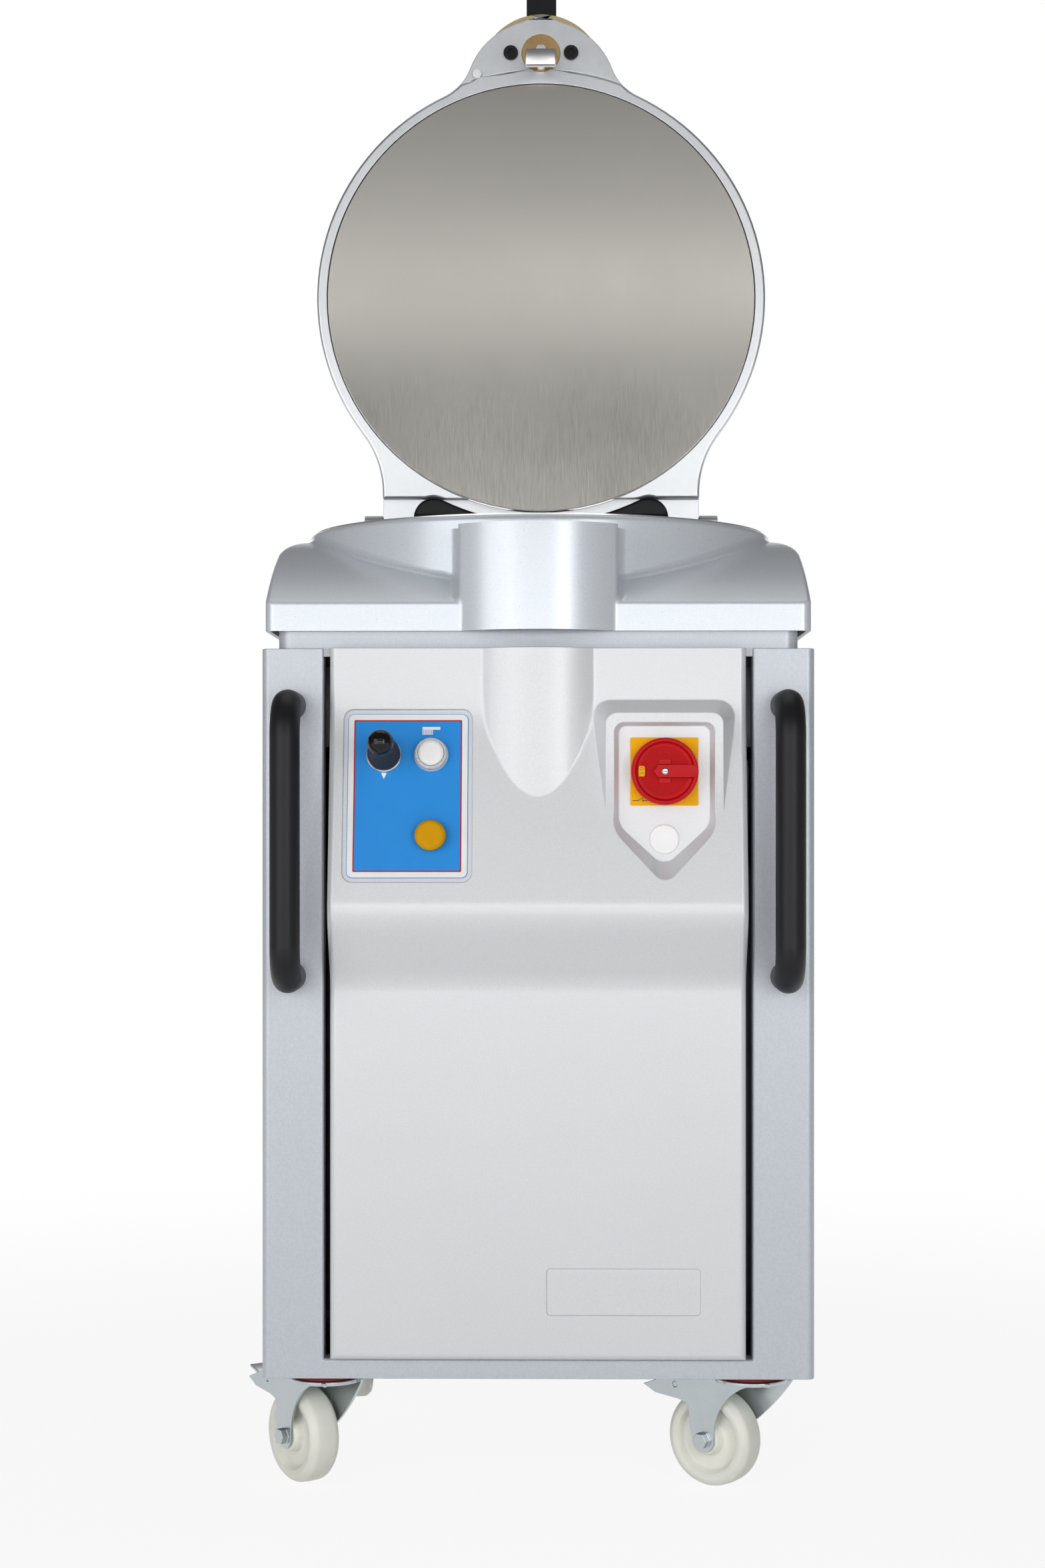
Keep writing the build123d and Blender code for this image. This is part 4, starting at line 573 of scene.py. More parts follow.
# level camera; its focal length and the picture's height are in pixels of the photograph
cameraView = {
    "spot": (0.0188, -3.040, 0.699), "yaw": 0.717, "focal": 4075.5, "height": 2353, "shift": 0.0206,
    "sensor": 36.0, "far": 60.0,
}
cameraData = bpy.data.cameras.new("photoCamera")
cameraData.sensor_width = cameraView["sensor"]
cameraData.lens = cameraView["sensor"] * cameraView["focal"] / cameraView["height"]
cameraData.shift_y = cameraView["shift"]
cameraData.clip_end = cameraView["far"]
camera = bpy.data.objects.new("photoCamera", cameraData)
camera.location = cameraView["spot"]
camera.rotation_euler = (radians(90), 0, radians(cameraView["yaw"]))
scene.collection.objects.link(camera)
scene.camera = camera

# CAD nodes that keep their own shape
keptNodes = {
    "base_frame": frameSteel, "frame_posts": frameSteel, "deck_plate": frameSteel, "latch_bracket": steel,
    "basin": steel, "press_segments": steel, "press_plate": frameSteel, "piston_rod": polishedSteel,
    "main_cylinder": frameSteel, "knife_grid": polishedSteel, "knife_carrier": steel,
    "knife_cylinders": frameSteel, "hydraulic_tank": frameSteel, "pump_motor": frameSteel,
    "valve_block": steel, "hydraulic_pipes": zinc, "control_box": cabinetPaint, "switch_body": blackRubber,
    "handles": satinBlack, "hinge_bushes": bronze, "hinge_pin": steel, "m8_bolts": zinc, "lock_bush": bronze,
    "castor_seals": sealRed, "neck_band": cabinetPaint, "top_cover": topPaint,
}
for node, material in keptNodes.items():
    cad[node].data.materials.clear()
    cad[node].data.materials.append(material)
print("nodes dressed:", len(keptNodes))

# node: finish, slot, width of the broken edge in mm
softNodes = {
    "front_cover": (coverPaint, "cover_paint", 0.8),
    "cabinet_shell": (cabinetPaint, "cabinet_paint", 0.8), "rear_panel": (cabinetPaint, "cabinet_paint", 0.4),
    "control_plate": (bluePrint, "blue_print", 0.3), "switch_plate": (yellowPlastic, "yellow_plastic", 0.5),
    "hinge_blocks": (castAlloy, "cast_alloy", 1.0),
    "lid_disc": (discSteel, "steel", 0.6), "lock_hub": (yellowZinc, "zinc_yellow", 0.4),
    "lock_lever": (satinBlack, "black_satin", 1.2),
    "lever_grip": (satinBlack, "black_satin", 1.0), "castor_plates": (zinc, "zinc", 0.5),
}
castorCorners = ("front_left", "front_right", "rear_left", "rear_right")
for corner in castorCorners:
    softNodes[corner + "_fork"] = (zinc, "zinc", 0.6)
    if corner.startswith("front"):
        softNodes[corner + "_brake_pedal"] = (zinc, "zinc", 0.6)
for node, (material, slot, edge) in softNodes.items():
    softCopy(node, material, slot, edge)
print("edges broken:", len(softNodes))

# hinge cover, whose ends fill the lid's openings
hingeCap = {"reach": 3.0, "edge": 1.5}
bm = cadCopy("hinge_cover")
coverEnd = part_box("hinge_cover")[1].x
for vertex in bm.verts:
    if abs(vertex.co.x) > coverEnd - mm:
        vertex.co.x += copysign(hingeCap["reach"] * mm, vertex.co.x)
softCopy("hinge_cover", satinBlack, "black_satin", hingeCap["edge"], bm=bm)

# lid casting: a wide chamfer follows the outline of its front, but none of its openings
lidShape = {
    "discZ": 1325.0, "chamfer": 3.4, "edge": 0.8, "edgeAngle": 50.0, "cornerAngle": 60.0, "slack": 0.1,
}
noseShape = {"step": 2.5, "lockZ": 1620.8, "screws": (-36.4, 36.4), "plug": (-77.0, 1596.0)}
discHole, lockHole, screwHole, plugHole = 262.0, 28.0, 12.0, 9.0
lidHoles = [
    (0, lidShape["discZ"], discHole),
    (0, noseShape["lockZ"], lockHole),
    *[(x, noseShape["lockZ"], screwHole) for x in noseShape["screws"]],
    (*noseShape["plug"], plugHole),
]
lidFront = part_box("lid_casting")[0].y / mm
bm = cadCopy("lid_casting")


def onLidOutline(edge):
    for vert in edge.verts:
        x, y, z = (value / mm for value in vert.co)
        if not -lidShape["slack"] < y - lidFront < noseShape["step"] + lidShape["slack"]:
            return False
        if any(hypot(x - holeX, z - holeZ) < reach for holeX, holeZ, reach in lidHoles):
            return False
    return len(edge.link_faces) == 2 and edge.calc_face_angle() > radians(lidShape["cornerAngle"])


weight = bm.edges.layers.float.new("bevel_weight_edge")
outline = [edge for edge in bm.edges if onLidOutline(edge)]
for edge in outline:
    edge[weight] = 1.0
softCopy(
    "lid_casting", castAlloy, "cast_alloy", lidShape["edge"], lidShape["edgeAngle"], bm, lidShape["chamfer"]
)
print("lid casting chamfered:", len(outline))

# lock tongue: a milled block on a crank that turns in the bronze bush
tongueShape = {
    "offset": 17.0, "width": 36.5, "height": 20.0, "thickness": 14.0, "chamfer": 2.6, "arm": 5.0,
    "armSink": 1.0, "crank": (2.0, 10.0), "crankEdge": 0.8, "shaft": 8.0, "shaftEdge": 1.2,
}
noseFace = lidFront + noseShape["step"]
tongueLow, tongueHigh = (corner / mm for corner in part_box("lock_tongue"))
crankPlace = facing(0, noseFace, noseShape["lockZ"])
blockPlace = facing(0, noseFace, noseShape["lockZ"] - tongueShape["offset"])
blockTop = noseFace - tongueLow.y
blockBack = blockTop - tongueShape["thickness"]
side, rise = tongueShape["width"] / 2, tongueShape["height"] / 2
blockLine = [(side, -rise), (side, rise), (-side, rise), (-side, -rise)]
block = broken(prism(blockLine, blockPlace, blockBack, blockTop), tongueShape["chamfer"])
crankBack, crankFront = tongueShape["crank"]
armRadius, armTop = tongueShape["arm"], blockBack + tongueShape["armSink"]
armLine = [(0, crankBack), (armRadius, crankBack), (armRadius, armTop), (0, armTop)]
arm = lathe(armLine, blockPlace, 32)
webEnd = -tongueShape["offset"]
webLine = [(-armRadius, webEnd), (armRadius, webEnd), (armRadius, 0), (-armRadius, 0)]
web = broken(prism(webLine, crankPlace, crankBack, crankFront), tongueShape["crankEdge"])
shaftEnd = noseFace - tongueHigh.y
shaftRadius, shaftEdge = tongueShape["shaft"], tongueShape["shaftEdge"]
shaftLine = [
    (0, shaftEnd), (shaftRadius, shaftEnd), (shaftRadius, crankFront - shaftEdge),
    (shaftRadius - shaftEdge, crankFront), (0, crankFront),
]
shaft = lathe(shaftLine, crankPlace, 48)
tongueMesh = meshOf(joined(block, arm, web, shaft))
addPiece("lockTongue", tongueMesh, polishedSteel, "lock", "steel", "lock_tongue")

# console controls, all set out from the plate's face
console = {
    "tilt": 11.5, "faceY": -302.5, "faceZ": 800.0, "recess": 1.5, "plate": (-130.6, 720.0),
    "joystick": (-154.6, 760.6), "white": (-107.2, 761.0), "amber": (-107.2, 679.0),
}
tilt = radians(console["tilt"])
outOfConsole = Vector((0, -cos(tilt), sin(tilt)))


def onConsole(x, z):
    y = console["faceY"] + tan(tilt) * (z - console["faceZ"])
    return basis(Vector((x, y, z)) - outOfConsole * console["recess"], (1, 0, 0), (0, sin(tilt), cos(tilt)))


platePlace = onConsole(*console["plate"])
joystickPlace = onConsole(*console["joystick"])
whitePlace = onConsole(*console["white"])
amberPlace = onConsole(*console["amber"])

# printed border of the plate, white and then red from its edge inwards
plateShape = {
    "width": 121.0, "height": 168.0, "corner": 6.0, "leastCorner": 1.2, "edge": 0.5, "white": 5.6, "red": 1.5,
    "ink": 0.1,
}


def borderLine(inset):
    corner = max(plateShape["corner"] - inset, plateShape["leastCorner"])
    return plateOutline(plateShape["width"] - 2 * inset, plateShape["height"] - 2 * inset, corner)


def plateInk(outline, place, hole=None):
    return prism(outline, place, 0, plateShape["ink"], hole)


whiteInset = plateShape["edge"] + plateShape["white"]
redInset = whiteInset + plateShape["red"]
border = plateInk(borderLine(plateShape["edge"]), platePlace, borderLine(whiteInset))
addPiece("plateBorder", meshOf(border), whiteInk, "cabinet", "white_plastic")
stripe = plateInk(borderLine(whiteInset), platePlace, borderLine(redInset))
addPiece("plateStripe", meshOf(stripe), redInk, "cabinet", "red_plastic")

# white signs: pointers under and over the lever and a brush over the button
plateSigns = {
    "pointer": (2.8, 6.2, 18.2), "brush": (18.0, 3.0), "brushRise": 26.0, "bristle": (1.0, 5.2),
    "bristles": 7, "bristlePitch": 1.55,
}
pointerHalf, pointerHeight, pointerDrop = plateSigns["pointer"]
pointer = [(-pointerHalf, -pointerDrop), (0, -pointerDrop - pointerHeight), (pointerHalf, -pointerDrop)]
upward = [(x, -y) for x, y in pointer]
length, depth = plateSigns["brush"]
rise = plateSigns["brushRise"]
handle = [(-length / 2, rise), (length / 2, rise), (length / 2, rise + depth), (-length / 2, rise + depth)]
inkwork = [plateInk(pointer, joystickPlace), plateInk(upward, joystickPlace), plateInk(handle, whitePlace)]
wide, tall = plateSigns["bristle"]
for i in range(plateSigns["bristles"]):
    x = -length / 2 + i * plateSigns["bristlePitch"]
    bristle = [(x, rise - tall), (x + wide, rise - tall), (x + wide, rise), (x, rise)]
    inkwork.append(plateInk(bristle, whitePlace))
addPiece("plateSigns", meshOf(joined(*inkwork)), whiteInk, "cabinet", "white_plastic")

# bodies behind the plate carry the ring, the collar and the amber button's seat
bodyShape = {"width": 30.0, "corner": 2.0, "top": -7.5, "depth": 42.0, "edge": 0.8}
bodyLine = plateOutline(bodyShape["width"], bodyShape["width"], bodyShape["corner"], 3)
bodies = [
    broken(prism(bodyLine, place, -bodyShape["depth"], bodyShape["top"]), bodyShape["edge"])
    for place in (joystickPlace, whitePlace, amberPlace)
]
addPiece("controlBodies", meshOf(joined(*bodies)), satinBlack, "cabinet", "black_satin", "control_bases")

ringProfile = [(14.2, 0.1), (18.0, 0.1, 0.2), (18.0, 3.2, 1.2), (16.4, 4.9, 0.6), (14.2, 4.9, 0.5)]
ringMesh = meshOf(lathe(rounded(ringProfile, 4), joystickPlace, 72, loop=True))
addPiece("joystickRing", ringMesh, polishedSteel, "cabinet", "zinc")

# rubber boot, still at the ring and reaching up round the stick; it is attached to no body
bootProfile = [
    (11.0, 1.0), (14.6, 1.0), (16.6, 3.0, 1.2), (16.4, 11.0, 5.0), (13.4, 20.0, 5.0), (11.2, 27.0, 3.0),
    (10.6, 34.0, 2.0), (7.8, 37.5, 1.5), (4.3, 38.2), (4.3, 36.0), (8.6, 33.0), (9.2, 27.0), (11.5, 19.0),
    (13.8, 10.0), (13.2, 4.0),
]
bootMesh = meshOf(lathe(rounded(bootProfile), joystickPlace, 72, loop=True))
boot = addPiece("joystickBoot", bootMesh, blackRubber, None, "black_satin")
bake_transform(boot)

# stick with a neck under the ball, whose round starts where the neck meets it
ball = {"radius": 13.0, "reach": 58.0, "start": -pi / 2 + 0.62, "steps": 24}
stick = [(0, -8.0), (4.0, -8.0), (4.0, 41.0), (6.2, 42.0, 0.6), (6.2, 45.5, 0.4)]
for i in range(ball["steps"] + 1):
    angle = ball["start"] + (pi / 2 - ball["start"]) * i / ball["steps"]
    stick.append((ball["radius"] * cos(angle), ball["reach"] + ball["radius"] * sin(angle)))
stickMesh = meshOf(lathe(rounded(stick, 3), joystickPlace))
addPiece("joystickBall", stickMesh, glossBlack, "joystick", "black_satin", "joystick_lever")

collarProfile = [
    (13.3, 2.0), (15.0, 0.1), (17.2, 0.1, 0.3), (17.2, 1.4, 0.4), (16.5, 2.0, 0.3), (16.2, 8.0, 1.6),
    (14.6, 9.6, 0.7), (13.3, 9.0, 0.4),
]
collarMesh = meshOf(lathe(rounded(collarProfile, 4), whitePlace, 72, loop=True))
addPiece("buttonCollar", collarMesh, clearCollar, "cabinet", "white_plastic")
capProfile = [
    (0, -18.0), (5.0, -18.0), (5.0, 6.6), (12.9, 6.6, 0.3), (12.9, 11.6, 2.0), (10.2, 13.3, 4.0), (5.0, 13.5),
    (0, 13.5),
]
capMesh = meshOf(lathe(rounded(capProfile), whitePlace, 72))
addPiece("buttonCap", capMesh, whitePlastic, "white_push", "white_plastic", "white_button")

seatProfile = [(9.0, 0.1), (13.8, 0.1, 0.2), (13.6, 2.0, 0.6), (9.0, 2.0)]
seatMesh = meshOf(lathe(rounded(seatProfile, 3), amberPlace, loop=True))
addPiece("amberSeat", seatMesh, satinBlack, "cabinet", "black_satin")
amberProfile = [
    (0, -18.0), (8.0, -18.0), (8.0, 6.6), (15.4, 6.6, 0.4), (15.5, 9.4, 2.4), (12.6, 13.0, 3.4), (4.0, 12.5),
    (0, 12.4),
]
amberMesh = meshOf(lathe(rounded(amberProfile, 6), amberPlace, 72))
addPiece("amberCap", amberMesh, amberPlastic, "amber_push", "amber_plastic", "amber_button")
print("console fitted")

# main switch in its pocket
switch = {
    "x": 127.0, "z": 744.0, "floorY": -312.0, "plate": 3.0, "gap": 0.3, "height": 20.0, "dish": 9.0,
    "plugZ": 676.0,
}
plateFace = switch["floorY"] - switch["plate"]
knobPlace = facing(switch["x"], plateFace - switch["gap"], switch["z"])
dishLevel = switch["height"] - switch["dish"]


def onKnob(x, y, z):
    return knobPlace @ Matrix.Translation((x, y, z))


knobProfile = [
    (0, 0.0), (32.4, 0.0), (33.6, 1.2, 0.6), (33.6, 14.0, 2.0), (32.6, 17.6, 1.6), (29.6, 17.8, 1.2),
    (28.3, dishLevel + 0.6, 1.2), (24.0, dishLevel, 3.0), (0, dishLevel),
]
knob = lathe(rounded(knobProfile), knobPlace, 96)
shaft = lathe([(0, -20.0), (4.0, -20.0), (4.0, 1.0), (0, 1.0)], knobPlace, 32)

# pointed grip across the dish, with a rib on each side of it
gripShape = {"sink": 1.0, "topDrop": 0.1, "edge": 1.6}
gripPoints = [
    (-11.6, 0, 1.0), (-6.6, -6.0, 1.5), (31.0, -6.0, 2.5), (33.4, 0, 12.0), (31.0, 6.0, 2.5),
    (-6.6, 6.0, 1.5),
]
gripLine = rounded(gripPoints, 4, loop=True)
grip = prism(gripLine, knobPlace, dishLevel - gripShape["sink"], switch["height"] - gripShape["topDrop"])
grip = broken(grip, gripShape["edge"], 3)
ribShape = {"size": (12.0, 4.6), "corner": 1.0, "places": (-9.4, 9.4), "levels": (-0.5, 1.8), "edge": 0.6}
ribLine = plateOutline(*ribShape["size"], ribShape["corner"], 3)
ribLow, ribHigh = (dishLevel + level for level in ribShape["levels"])
ribs = [
    broken(prism(ribLine, onKnob(0, y, 0), ribLow, ribHigh), ribShape["edge"])
    for y in ribShape["places"]
]

# raised words on the dish, as text, place and size
knobSigns = [
    ("I", (-5.0, 19.5), 6.5), ("ON", (5.0, 19.5), 5.2), ("O", (-5.5, -19.8), 5.8), ("OFF", (5.0, -19.8), 5.0),
]
signSink, signHeight = 0.1, 0.7
raised = [
    lettering(text, size, onKnob(*spot, dishLevel - signSink), signHeight)
    for text, spot, size in knobSigns
]
knobMesh = meshOf(joined(knob, grip, shaft, *raised, *ribs))
addPiece("switchKnob", knobMesh, redPlastic, "knob", "red_plastic", "switch_knob")
# a darker red disc laid in the dish: painted shade of the recess around the grip
shadeDiscProfile = [
    (0, dishLevel - 0.4), (27.2, dishLevel - 0.4), (27.2, dishLevel + 0.3), (23.6, dishLevel + 0.06),
    (0, dishLevel + 0.06),
]
addPiece("switchDish", meshOf(lathe(shadeDiscProfile, knobPlace, 96)), dishShadeRed, "knob", "red_plastic")

tabShape = {"size": (6.4, 10.4), "corner": 1.4, "x": -23.2, "sink": 0.2, "thickness": 3.2, "edge": 0.4}
tabSigns = [("O", 2.3, 4.6), ("OFF", -2.3, 2.7)]
inkSink, inkHeight = 0.05, 0.12
tabPlace = onKnob(tabShape["x"], 0, dishLevel - tabShape["sink"])
tabLine = plateOutline(*tabShape["size"], tabShape["corner"], 4)
tabMesh = meshOf(broken(prism(tabLine, tabPlace, 0, tabShape["thickness"]), tabShape["edge"]))
addPiece("switchTab", tabMesh, yellowPlastic, "knob", "yellow_plastic")
tabTop = tabShape["thickness"] - inkSink
tabMarks = [
    lettering(text, size, tabPlace @ Matrix.Translation((0, y, tabTop)), inkHeight)
    for text, y, size in tabSigns
]
addPiece("switchTabMarks", meshOf(joined(*tabMarks)), blackInkAndShade, "knob", "black_satin")

knobScrew = {"sink": 0.3, "slot": (5.0, 0.8), "slotCorner": 0.1, "slotLevels": (1.62, 1.78)}
screwProfile = [(0, 0), (3.4, 0), (3.4, 0.8, 0.4), (2.4, 1.5, 0.8), (0, 1.7)]
screwPlace = onKnob(0, 0, switch["height"] - knobScrew["sink"])
# a thin black sheet across the screw's dome stands for its slot: painted shade in place of a cut groove
slotLine = plateOutline(*knobScrew["slot"], knobScrew["slotCorner"], 1)
slotShade = prism(slotLine, screwPlace, *knobScrew["slotLevels"])
screwMesh = meshOf(lathe(rounded(screwProfile, 4), screwPlace, 32))
addPiece("knobScrew", screwMesh, zinc, "knob", "zinc")
addPiece("knobScrewSlotShade", meshOf(slotShade), blackInkAndShade, "knob", "black_satin")

# isolator sign in a corner of the yellow plate
isolator = {"x": -24.5, "z": -29.3, "stroke": 0.7}
signPlace = facing(switch["x"] + isolator["x"], plateFace, switch["z"] + isolator["z"])
strokes = [((-7.0, 0), (-2.4, 0)), ((-2.4, 0), (2.8, 2.6)), ((3.0, 0), (7.0, 0)), ((3.0, -1.0), (3.0, 1.0))]


def stroke(start, end, width):
    along = (Vector(end) - Vector(start)).normalized() * width / 2
    across = Vector((-along.y, along.x))
    first, last = Vector(start) - along, Vector(end) + along
    return [tuple(first - across), tuple(last - across), tuple(last + across), tuple(first + across)]


signInk = joined(*[prism(stroke(a, b, isolator["stroke"]), signPlace, 0, inkHeight) for a, b in strokes])
addPiece("isolatorSign", meshOf(signInk), blackInkAndShade, "cabinet", "black_satin")

plugPlace = facing(switch["x"], switch["floorY"], switch["plugZ"])
plugProfile = [
    (0, -4.0), (10.6, -4.0), (10.6, 0.05), (15.0, 0.05), (15.0, 1.6, 0.8), (13.8, 2.7, 1.2), (6.0, 3.0),
    (0, 3.0),
]
plugMesh = meshOf(lathe(rounded(plugProfile, 4), plugPlace))
addPiece("blankPlug", plugMesh, whitePlastic, "cabinet", "white_plastic", "blank_plug")
print("switch fitted")

# white plug on the lid's nose
lidPlugX, lidPlugZ = noseShape["plug"]
lidPlugProfile = [(0, -8.0), (5.8, -8.0), (5.85, 1.8, 0.8), (4.6, 2.8, 1.0), (0, 3.0)]
lidPlugMesh = meshOf(lathe(rounded(lidPlugProfile, 4), facing(lidPlugX, noseFace, lidPlugZ), 40))
addPiece("lidPlug", lidPlugMesh, whitePlastic, "lid", "white_plastic", "lid_plug")


# tree that stands one shape on every point of a mesh, along the vector kept there as "aim"
def standOnPoints(name, sizes, build):
    tree = bpy.data.node_groups.new(name, "GeometryNodeTree")
    tree.interface.new_socket("Geometry", in_out="INPUT", socket_type="NodeSocketGeometry")
    for label in sizes:
        tree.interface.new_socket(label, in_out="INPUT", socket_type="NodeSocketFloat")
    tree.interface.new_socket("Finish", in_out="INPUT", socket_type="NodeSocketMaterial")
    tree.interface.new_socket("Geometry", in_out="OUTPUT", socket_type="NodeSocketGeometry")
    wire = Wire(tree)
    inputs = tree.nodes.new("NodeGroupInput")
    size = {label: Wire(tree, inputs.outputs[label]) for label in sizes}
    aim = wire.node("GeometryNodeInputNamedAttribute", {"data_type": "FLOAT_VECTOR"}, {"Name": "aim"})
    turn = wire.node("FunctionNodeAlignRotationToVector", {"axis": "Z"}, {"Vector": aim})
    spots = Wire(tree, inputs.outputs["Geometry"])
    sockets = {"Points": spots, "Instance": build(wire, size), "Rotation": turn}
    stood = wire.node("GeometryNodeInstanceOnPoints", None, sockets)
    real = wire.node("GeometryNodeRealizeInstances", None, {"Geometry": stood})
    paint = Wire(tree, inputs.outputs["Finish"])
    dressed = wire.node("GeometryNodeSetMaterial", None, {"Geometry": real, "Material": paint})
    output = tree.nodes.new("NodeGroupOutput")
    tree.links.new(dressed.socket, output.inputs["Geometry"])
    return tree


def measures(wire, x, y, z):
    return wire.node("ShaderNodeCombineXYZ", None, {"X": x, "Y": y, "Z": z})


def shifted(wire, shape, z):
    rise = measures(wire, 0.0, 0.0, z)
    return wire.node("GeometryNodeTransform", None, {"Geometry": shape, "Translation": rise})


def scaledBall(wire, segments, radius, scale):
    sockets = {"Segments": segments, "Rings": segments // 2, "Radius": radius}
    sphere = wire.node("GeometryNodeMeshUVSphere", None, sockets)
    return wire.node("GeometryNodeTransform", None, {"Geometry": sphere, "Scale": scale})


def cuboid(wire, x, y, z):
    return wire.node("GeometryNodeMeshCube", None, {"Size": measures(wire, x, y, z)})


def carved(wire, shape, tool):
    sockets = {"Mesh 1": shape, "Mesh 2": tool}
    return wire.node("GeometryNodeMeshBoolean", {"operation": "DIFFERENCE"}, sockets)


def drum(wire, sides, radius, depth):
    return wire.node("GeometryNodeMeshCylinder", None, {"Vertices": sides, "Radius": radius, "Depth": depth})


def together(wire, *shapes):
    made = wire.tree.nodes.new("GeometryNodeJoinGeometry")
    for shape in shapes:
        wire.tree.links.new(shape.socket, made.inputs[0])
    return Wire(wire.tree, made.outputs[0])


# cap screw with a hexagon socket, its measures as shares of the head's radius and height
capHead = {"sides": 40, "key": 0.56, "keyHeight": 1.4, "keyRise": 1.05, "stem": 0.66, "stemSides": 24}


def capScrew(wire, size):
    radius, height, shank = size["radius"], size["height"], size["shank"]
    head = shifted(wire, drum(wire, capHead["sides"], radius, height), height * 0.5)
    key = drum(wire, 6, radius * capHead["key"], height * capHead["keyHeight"])
    cut = carved(wire, head, shifted(wire, key, height * capHead["keyRise"]))
    stem = drum(wire, capHead["stemSides"], radius * capHead["stem"], shank)
    return together(wire, cut, shifted(wire, stem, shank * -0.5))


# low pan head with a cross recess, for sheet metal, again in shares of the head
panHead = {"segments": 28, "crossLength": 1.1, "crossWidth": 0.2, "stem": 0.5, "stemSides": 16}


def panScrew(wire, size):
    radius, height, shank = size["radius"], size["height"], size["shank"]
    dome = scaledBall(wire, panHead["segments"], radius, measures(wire, 1.0, 1.0, height / radius))
    long, narrow = radius * panHead["crossLength"], radius * panHead["crossWidth"]
    cross = together(wire, cuboid(wire, long, narrow, height), cuboid(wire, narrow, long, height))
    cut = carved(wire, dome, shifted(wire, cross, height))
    stem = drum(wire, panHead["stemSides"], radius * panHead["stem"], shank)
    return together(wire, cut, shifted(wire, stem, shank * -0.5))


# pressed hood over a vent slot
def ventHood(wire, size):
    length, width, height = size["length"], size["width"], size["height"]
    return scaledBall(wire, 32, 1.0, measures(wire, length * 0.5, width * 0.5, height))


def stoodPieces(name, tree, sizes, spots, aim, material, body, slot, *stoodFor):
    mesh = bpy.data.meshes.new("work")
    mesh.from_pydata([tuple(Vector(spot) * mm) for spot in spots], [], [])
    aimed = mesh.attributes.new("aim", "FLOAT_VECTOR", "POINT")
    aimed.data.foreach_set("vector", aim * len(spots))
    work = workObject(mesh)
    modifier = work.modifiers.new(name, "NODES")
    modifier.node_group = tree
    for item in tree.interface.items_tree:
        if item.in_out == "INPUT" and item.name in sizes:
            modifier[item.identifier] = sizes[item.name] * mm
        elif item.in_out == "INPUT" and item.name == "Finish":
            modifier[item.identifier] = material
    made = smoothed(settled(work), 30.0)
    return addPiece(name, made, material, body, slot, *stoodFor)


capTree = standOnPoints("capScrews", ("radius", "height", "shank"), capScrew)
panTree = standOnPoints("panScrews", ("radius", "height", "shank"), panScrew)
hoodTree = standOnPoints("ventHoods", ("length", "width", "height"), ventHood)

forward, backward = (0, -1, 0), (0, 1, 0)
lidScrews = {"radius": 8.75, "height": 4.0, "shank": 24.0}
lidScrewSpots = [(x, noseFace, noseShape["lockZ"]) for x in noseShape["screws"]]
stoodPieces(
    "lidScrews", capTree, lidScrews, lidScrewSpots, forward, satinBlack, "lid", "black_satin", "lid_screws"
)

# rear panel: hoods over its slots and pan-head screws round its edge
rear = {"columns": (-70.0, 70.0), "rows": 8, "pitch": 18.0, "rise": 3.4, "sink": 0.6}
panelLow, panelHigh = (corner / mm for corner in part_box("rear_panel"))
panelMiddle = (panelLow.z + panelHigh.z) / 2
hoodRows = [(row - (rear["rows"] - 1) / 2) * rear["pitch"] + rear["rise"] for row in range(rear["rows"])]
hoodSpots = [(x, panelHigh.y - rear["sink"], panelMiddle + z) for x in rear["columns"] for z in hoodRows]
ventHoods = {"length": 76.0, "width": 12.0, "height": 5.0}
stoodPieces(
    "ventHoods", hoodTree, ventHoods, hoodSpots, backward, cabinetPaint, "cabinet", "cabinet_paint"
)


# boxes of a node's separate solids, in a fixed order
def islands(node):
    bm = cadMesh(node)
    left = set(bm.verts)
    boxes = []
    while left:
        group = {left.pop()}
        fresh = set(group)
        while fresh:
            fresh = {edge.other_vert(vert) for vert in fresh for edge in vert.link_edges} - group
            group |= fresh
        left -= group
        low = Vector([min(v.co[i] for v in group) for i in range(3)]) / mm
        high = Vector([max(v.co[i] for v in group) for i in range(3)]) / mm
        boxes.append((low, high))
    bm.free()
    return sorted(boxes, key=lambda box: tuple(box[0]))


rearScrews = {"radius": 5.0, "height": 2.4, "shank": 4.5}
rearMiddles = [(low + high) / 2 for low, high in islands("rear_screws")]
rearSpots = [(middle.x, panelHigh.y, middle.z) for middle in rearMiddles]
stoodPieces("rearScrews", panTree, rearScrews, rearSpots, backward, zinc, "cabinet", "zinc", "rear_screws")

# castor wheels, turned with a dished web and a rounded tread, the same on both sides
wheelSide = [
    (6.1, -20.0), (15.6, -20.0, 1.0), (17.6, -9.6, 2.0), (32.4, -8.9, 2.5), (36.4, -16.8, 1.6),
    (43.0, -18.0, 6.0), (49.4, -11.5, 8.0),
]
otherSide = [(radius, -level, *soft) for radius, level, *soft in reversed(wheelSide)]
wheelProfile = rounded([*wheelSide, (50.0, 0.0, 40.0), *otherSide])
joints = {joint["name"]: joint for joint in frame["record"]["behaviour"]["joints"]}
for corner in castorCorners:
    spin = joints[corner + "_wheel_spin"]
    right = Vector((0, 0, 1)).cross(Vector(spin["axis"]))
    wheelPlace = basis(Vector(spin["pos_m"]) / mm, right, (0, 0, 1))
    wheelMesh = meshOf(lathe(wheelProfile, wheelPlace, 96, loop=True))
    wheel = corner + "_wheel"
    addPiece(pieceName(wheel), wheelMesh, wheelPlastic, corner + "_roller", "wheel_plastic", wheel)
print("rear panel and castors fitted")


# share of the white that the camera, mirrors and clear pieces see
def seenWhite(wire, mirrored=1.0):
    cameraRay, glossyRay, clearRay = (
        wire.node("ShaderNodeLightPath", out=ray)
        for ray in ("Is Camera Ray", "Is Glossy Ray", "Is Transmission Ray")
    )
    return wire.maths("MINIMUM", cameraRay + mirrored * glossyRay + clearRay, 1.0)


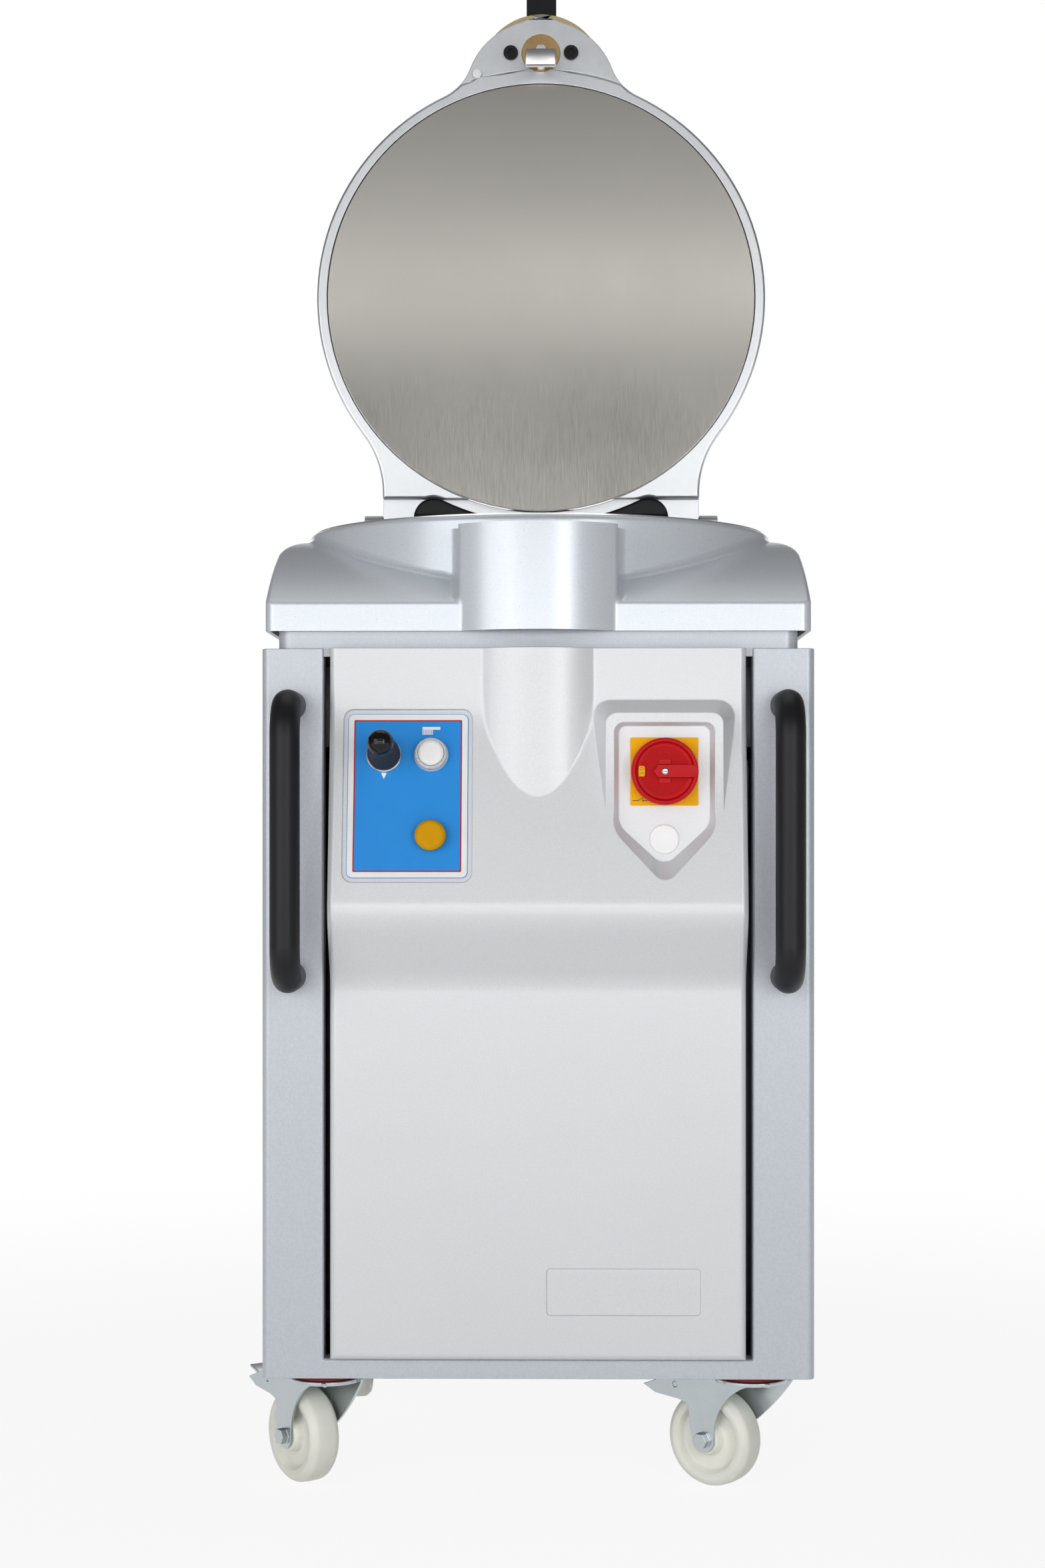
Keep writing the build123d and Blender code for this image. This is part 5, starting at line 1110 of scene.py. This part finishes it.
# plain white floor, bright to the camera and to mirrors, with the object's soft shadow on it
stageLook = {"colour": (0.86, 0.86, 0.86), "white": 0.9, "whiteBand": (0.6, 2.4), "size": 14.0}
floorMesh = bpy.data.meshes.new("floor")
half = stageLook["size"] / 2
floorCorners = [(-half, -half, 0), (half, -half, 0), (half, half, 0), (-half, half, 0)]
floorMesh.from_pydata(floorCorners, [], [(0, 1, 2, 3)])
floorPaint = bpy.data.materials.new("floorPaint")
floorPaint.use_nodes = True
floorPaint.node_tree.nodes.clear()
wire = Wire(floorPaint.node_tree)
spot = wire.node("ShaderNodeTexCoord", out="Object")
away = wire.node("ShaderNodeVectorMath", {"operation": "LENGTH"}, {0: spot}, out="Value")
white = stageLook["white"] + (1 - stageLook["white"]) * band(wire, away, *stageLook["whiteBand"])
plain = wire.node("ShaderNodeBsdfDiffuse", None, {"Color": (*stageLook["colour"], 1.0)})
bright = wire.node("ShaderNodeEmission", None, {"Color": (1, 1, 1, 1), "Strength": 1.0})
mixed = wire.node("ShaderNodeMixShader", None, {0: seenWhite(wire) * white, 1: plain, 2: bright})
wire.node("ShaderNodeOutputMaterial", None, {"Surface": mixed})
floorMesh.materials.append(floorPaint)
floor = bpy.data.objects.new("floor", floorMesh)
scene.collection.objects.link(floor)

# room light that fades towards the zenith, while the camera sees plain white
studio = {"room": 0.26, "mirrored": 0.08, "zenith": 0.32, "fade": (0.0, 0.5)}
world = bpy.data.worlds.new("studio")
scene.world = world
world.use_nodes = True
world.node_tree.nodes.clear()
wire = Wire(world.node_tree)
direction = wire.node("ShaderNodeTexCoord", out="Generated")
up = wire.node("ShaderNodeSeparateXYZ", None, {0: direction}, out="Z")
room = studio["room"] * (1 - (1 - studio["zenith"]) * band(wire, up, *studio["fade"]))
strength = room + (1 - room) * seenWhite(wire, studio["mirrored"])
backdrop = wire.node("ShaderNodeBackground", None, {"Color": (1, 1, 1, 1), "Strength": strength})
wire.node("ShaderNodeOutputWorld", None, {"Surface": backdrop})

# soft boxes, in metres and watts
lamps = {
    "frontBox": {"spot": (0.0, -3.4, 2.04), "aim": (0, 0, 1.2), "size": (3.6, 0.2), "power": 4.5},
    "highBox": {"spot": (0.0, -3.4, 2.4), "aim": (0, 0, 1.2), "size": (3.6, 0.4), "power": 2},
    "fillBox": {"spot": (0.0, -3.3, 1.0), "aim": (0, 0, 0.8), "size": (3.4, 0.5), "power": 21},
    "lowBox": {"spot": (0.0, -3.2, 0.3), "aim": (0, 0, 0.5), "size": (3.4, 0.5), "power": 7},
    "leftBox": {"spot": (-2.1, -2.6, 1.1), "aim": (0, 0, 0.8), "size": (1.8, 2.2), "power": 27},
    "rightBox": {"spot": (1.5, -3.0, 1.1), "aim": (0, 0, 0.8), "size": (0.7, 2.0), "power": 15},
    "backBox": {"spot": (0.0, 3.6, 1.5), "aim": (0, 0, 0.8), "size": (3.0, 1.4), "power": 26},
    "topBox": {"spot": (0, 0.6, 3.6), "aim": (0, 0, 0), "size": (2.4, 1.6), "power": 12},
}
for name, lamp in lamps.items():
    lampData = bpy.data.lights.new(name, "AREA")
    lampData.shape = "RECTANGLE"
    lampData.size, lampData.size_y = lamp["size"]
    lampData.energy = lamp["power"]
    lampObject = bpy.data.objects.new(name, lampData)
    lampObject.location = lamp["spot"]
    lampAim = Vector(lamp["aim"]) - Vector(lamp["spot"])
    lampObject.rotation_euler = lampAim.to_track_quat("-Z", "Y").to_euler()
    scene.collection.objects.link(lampObject)
print("stage lit")
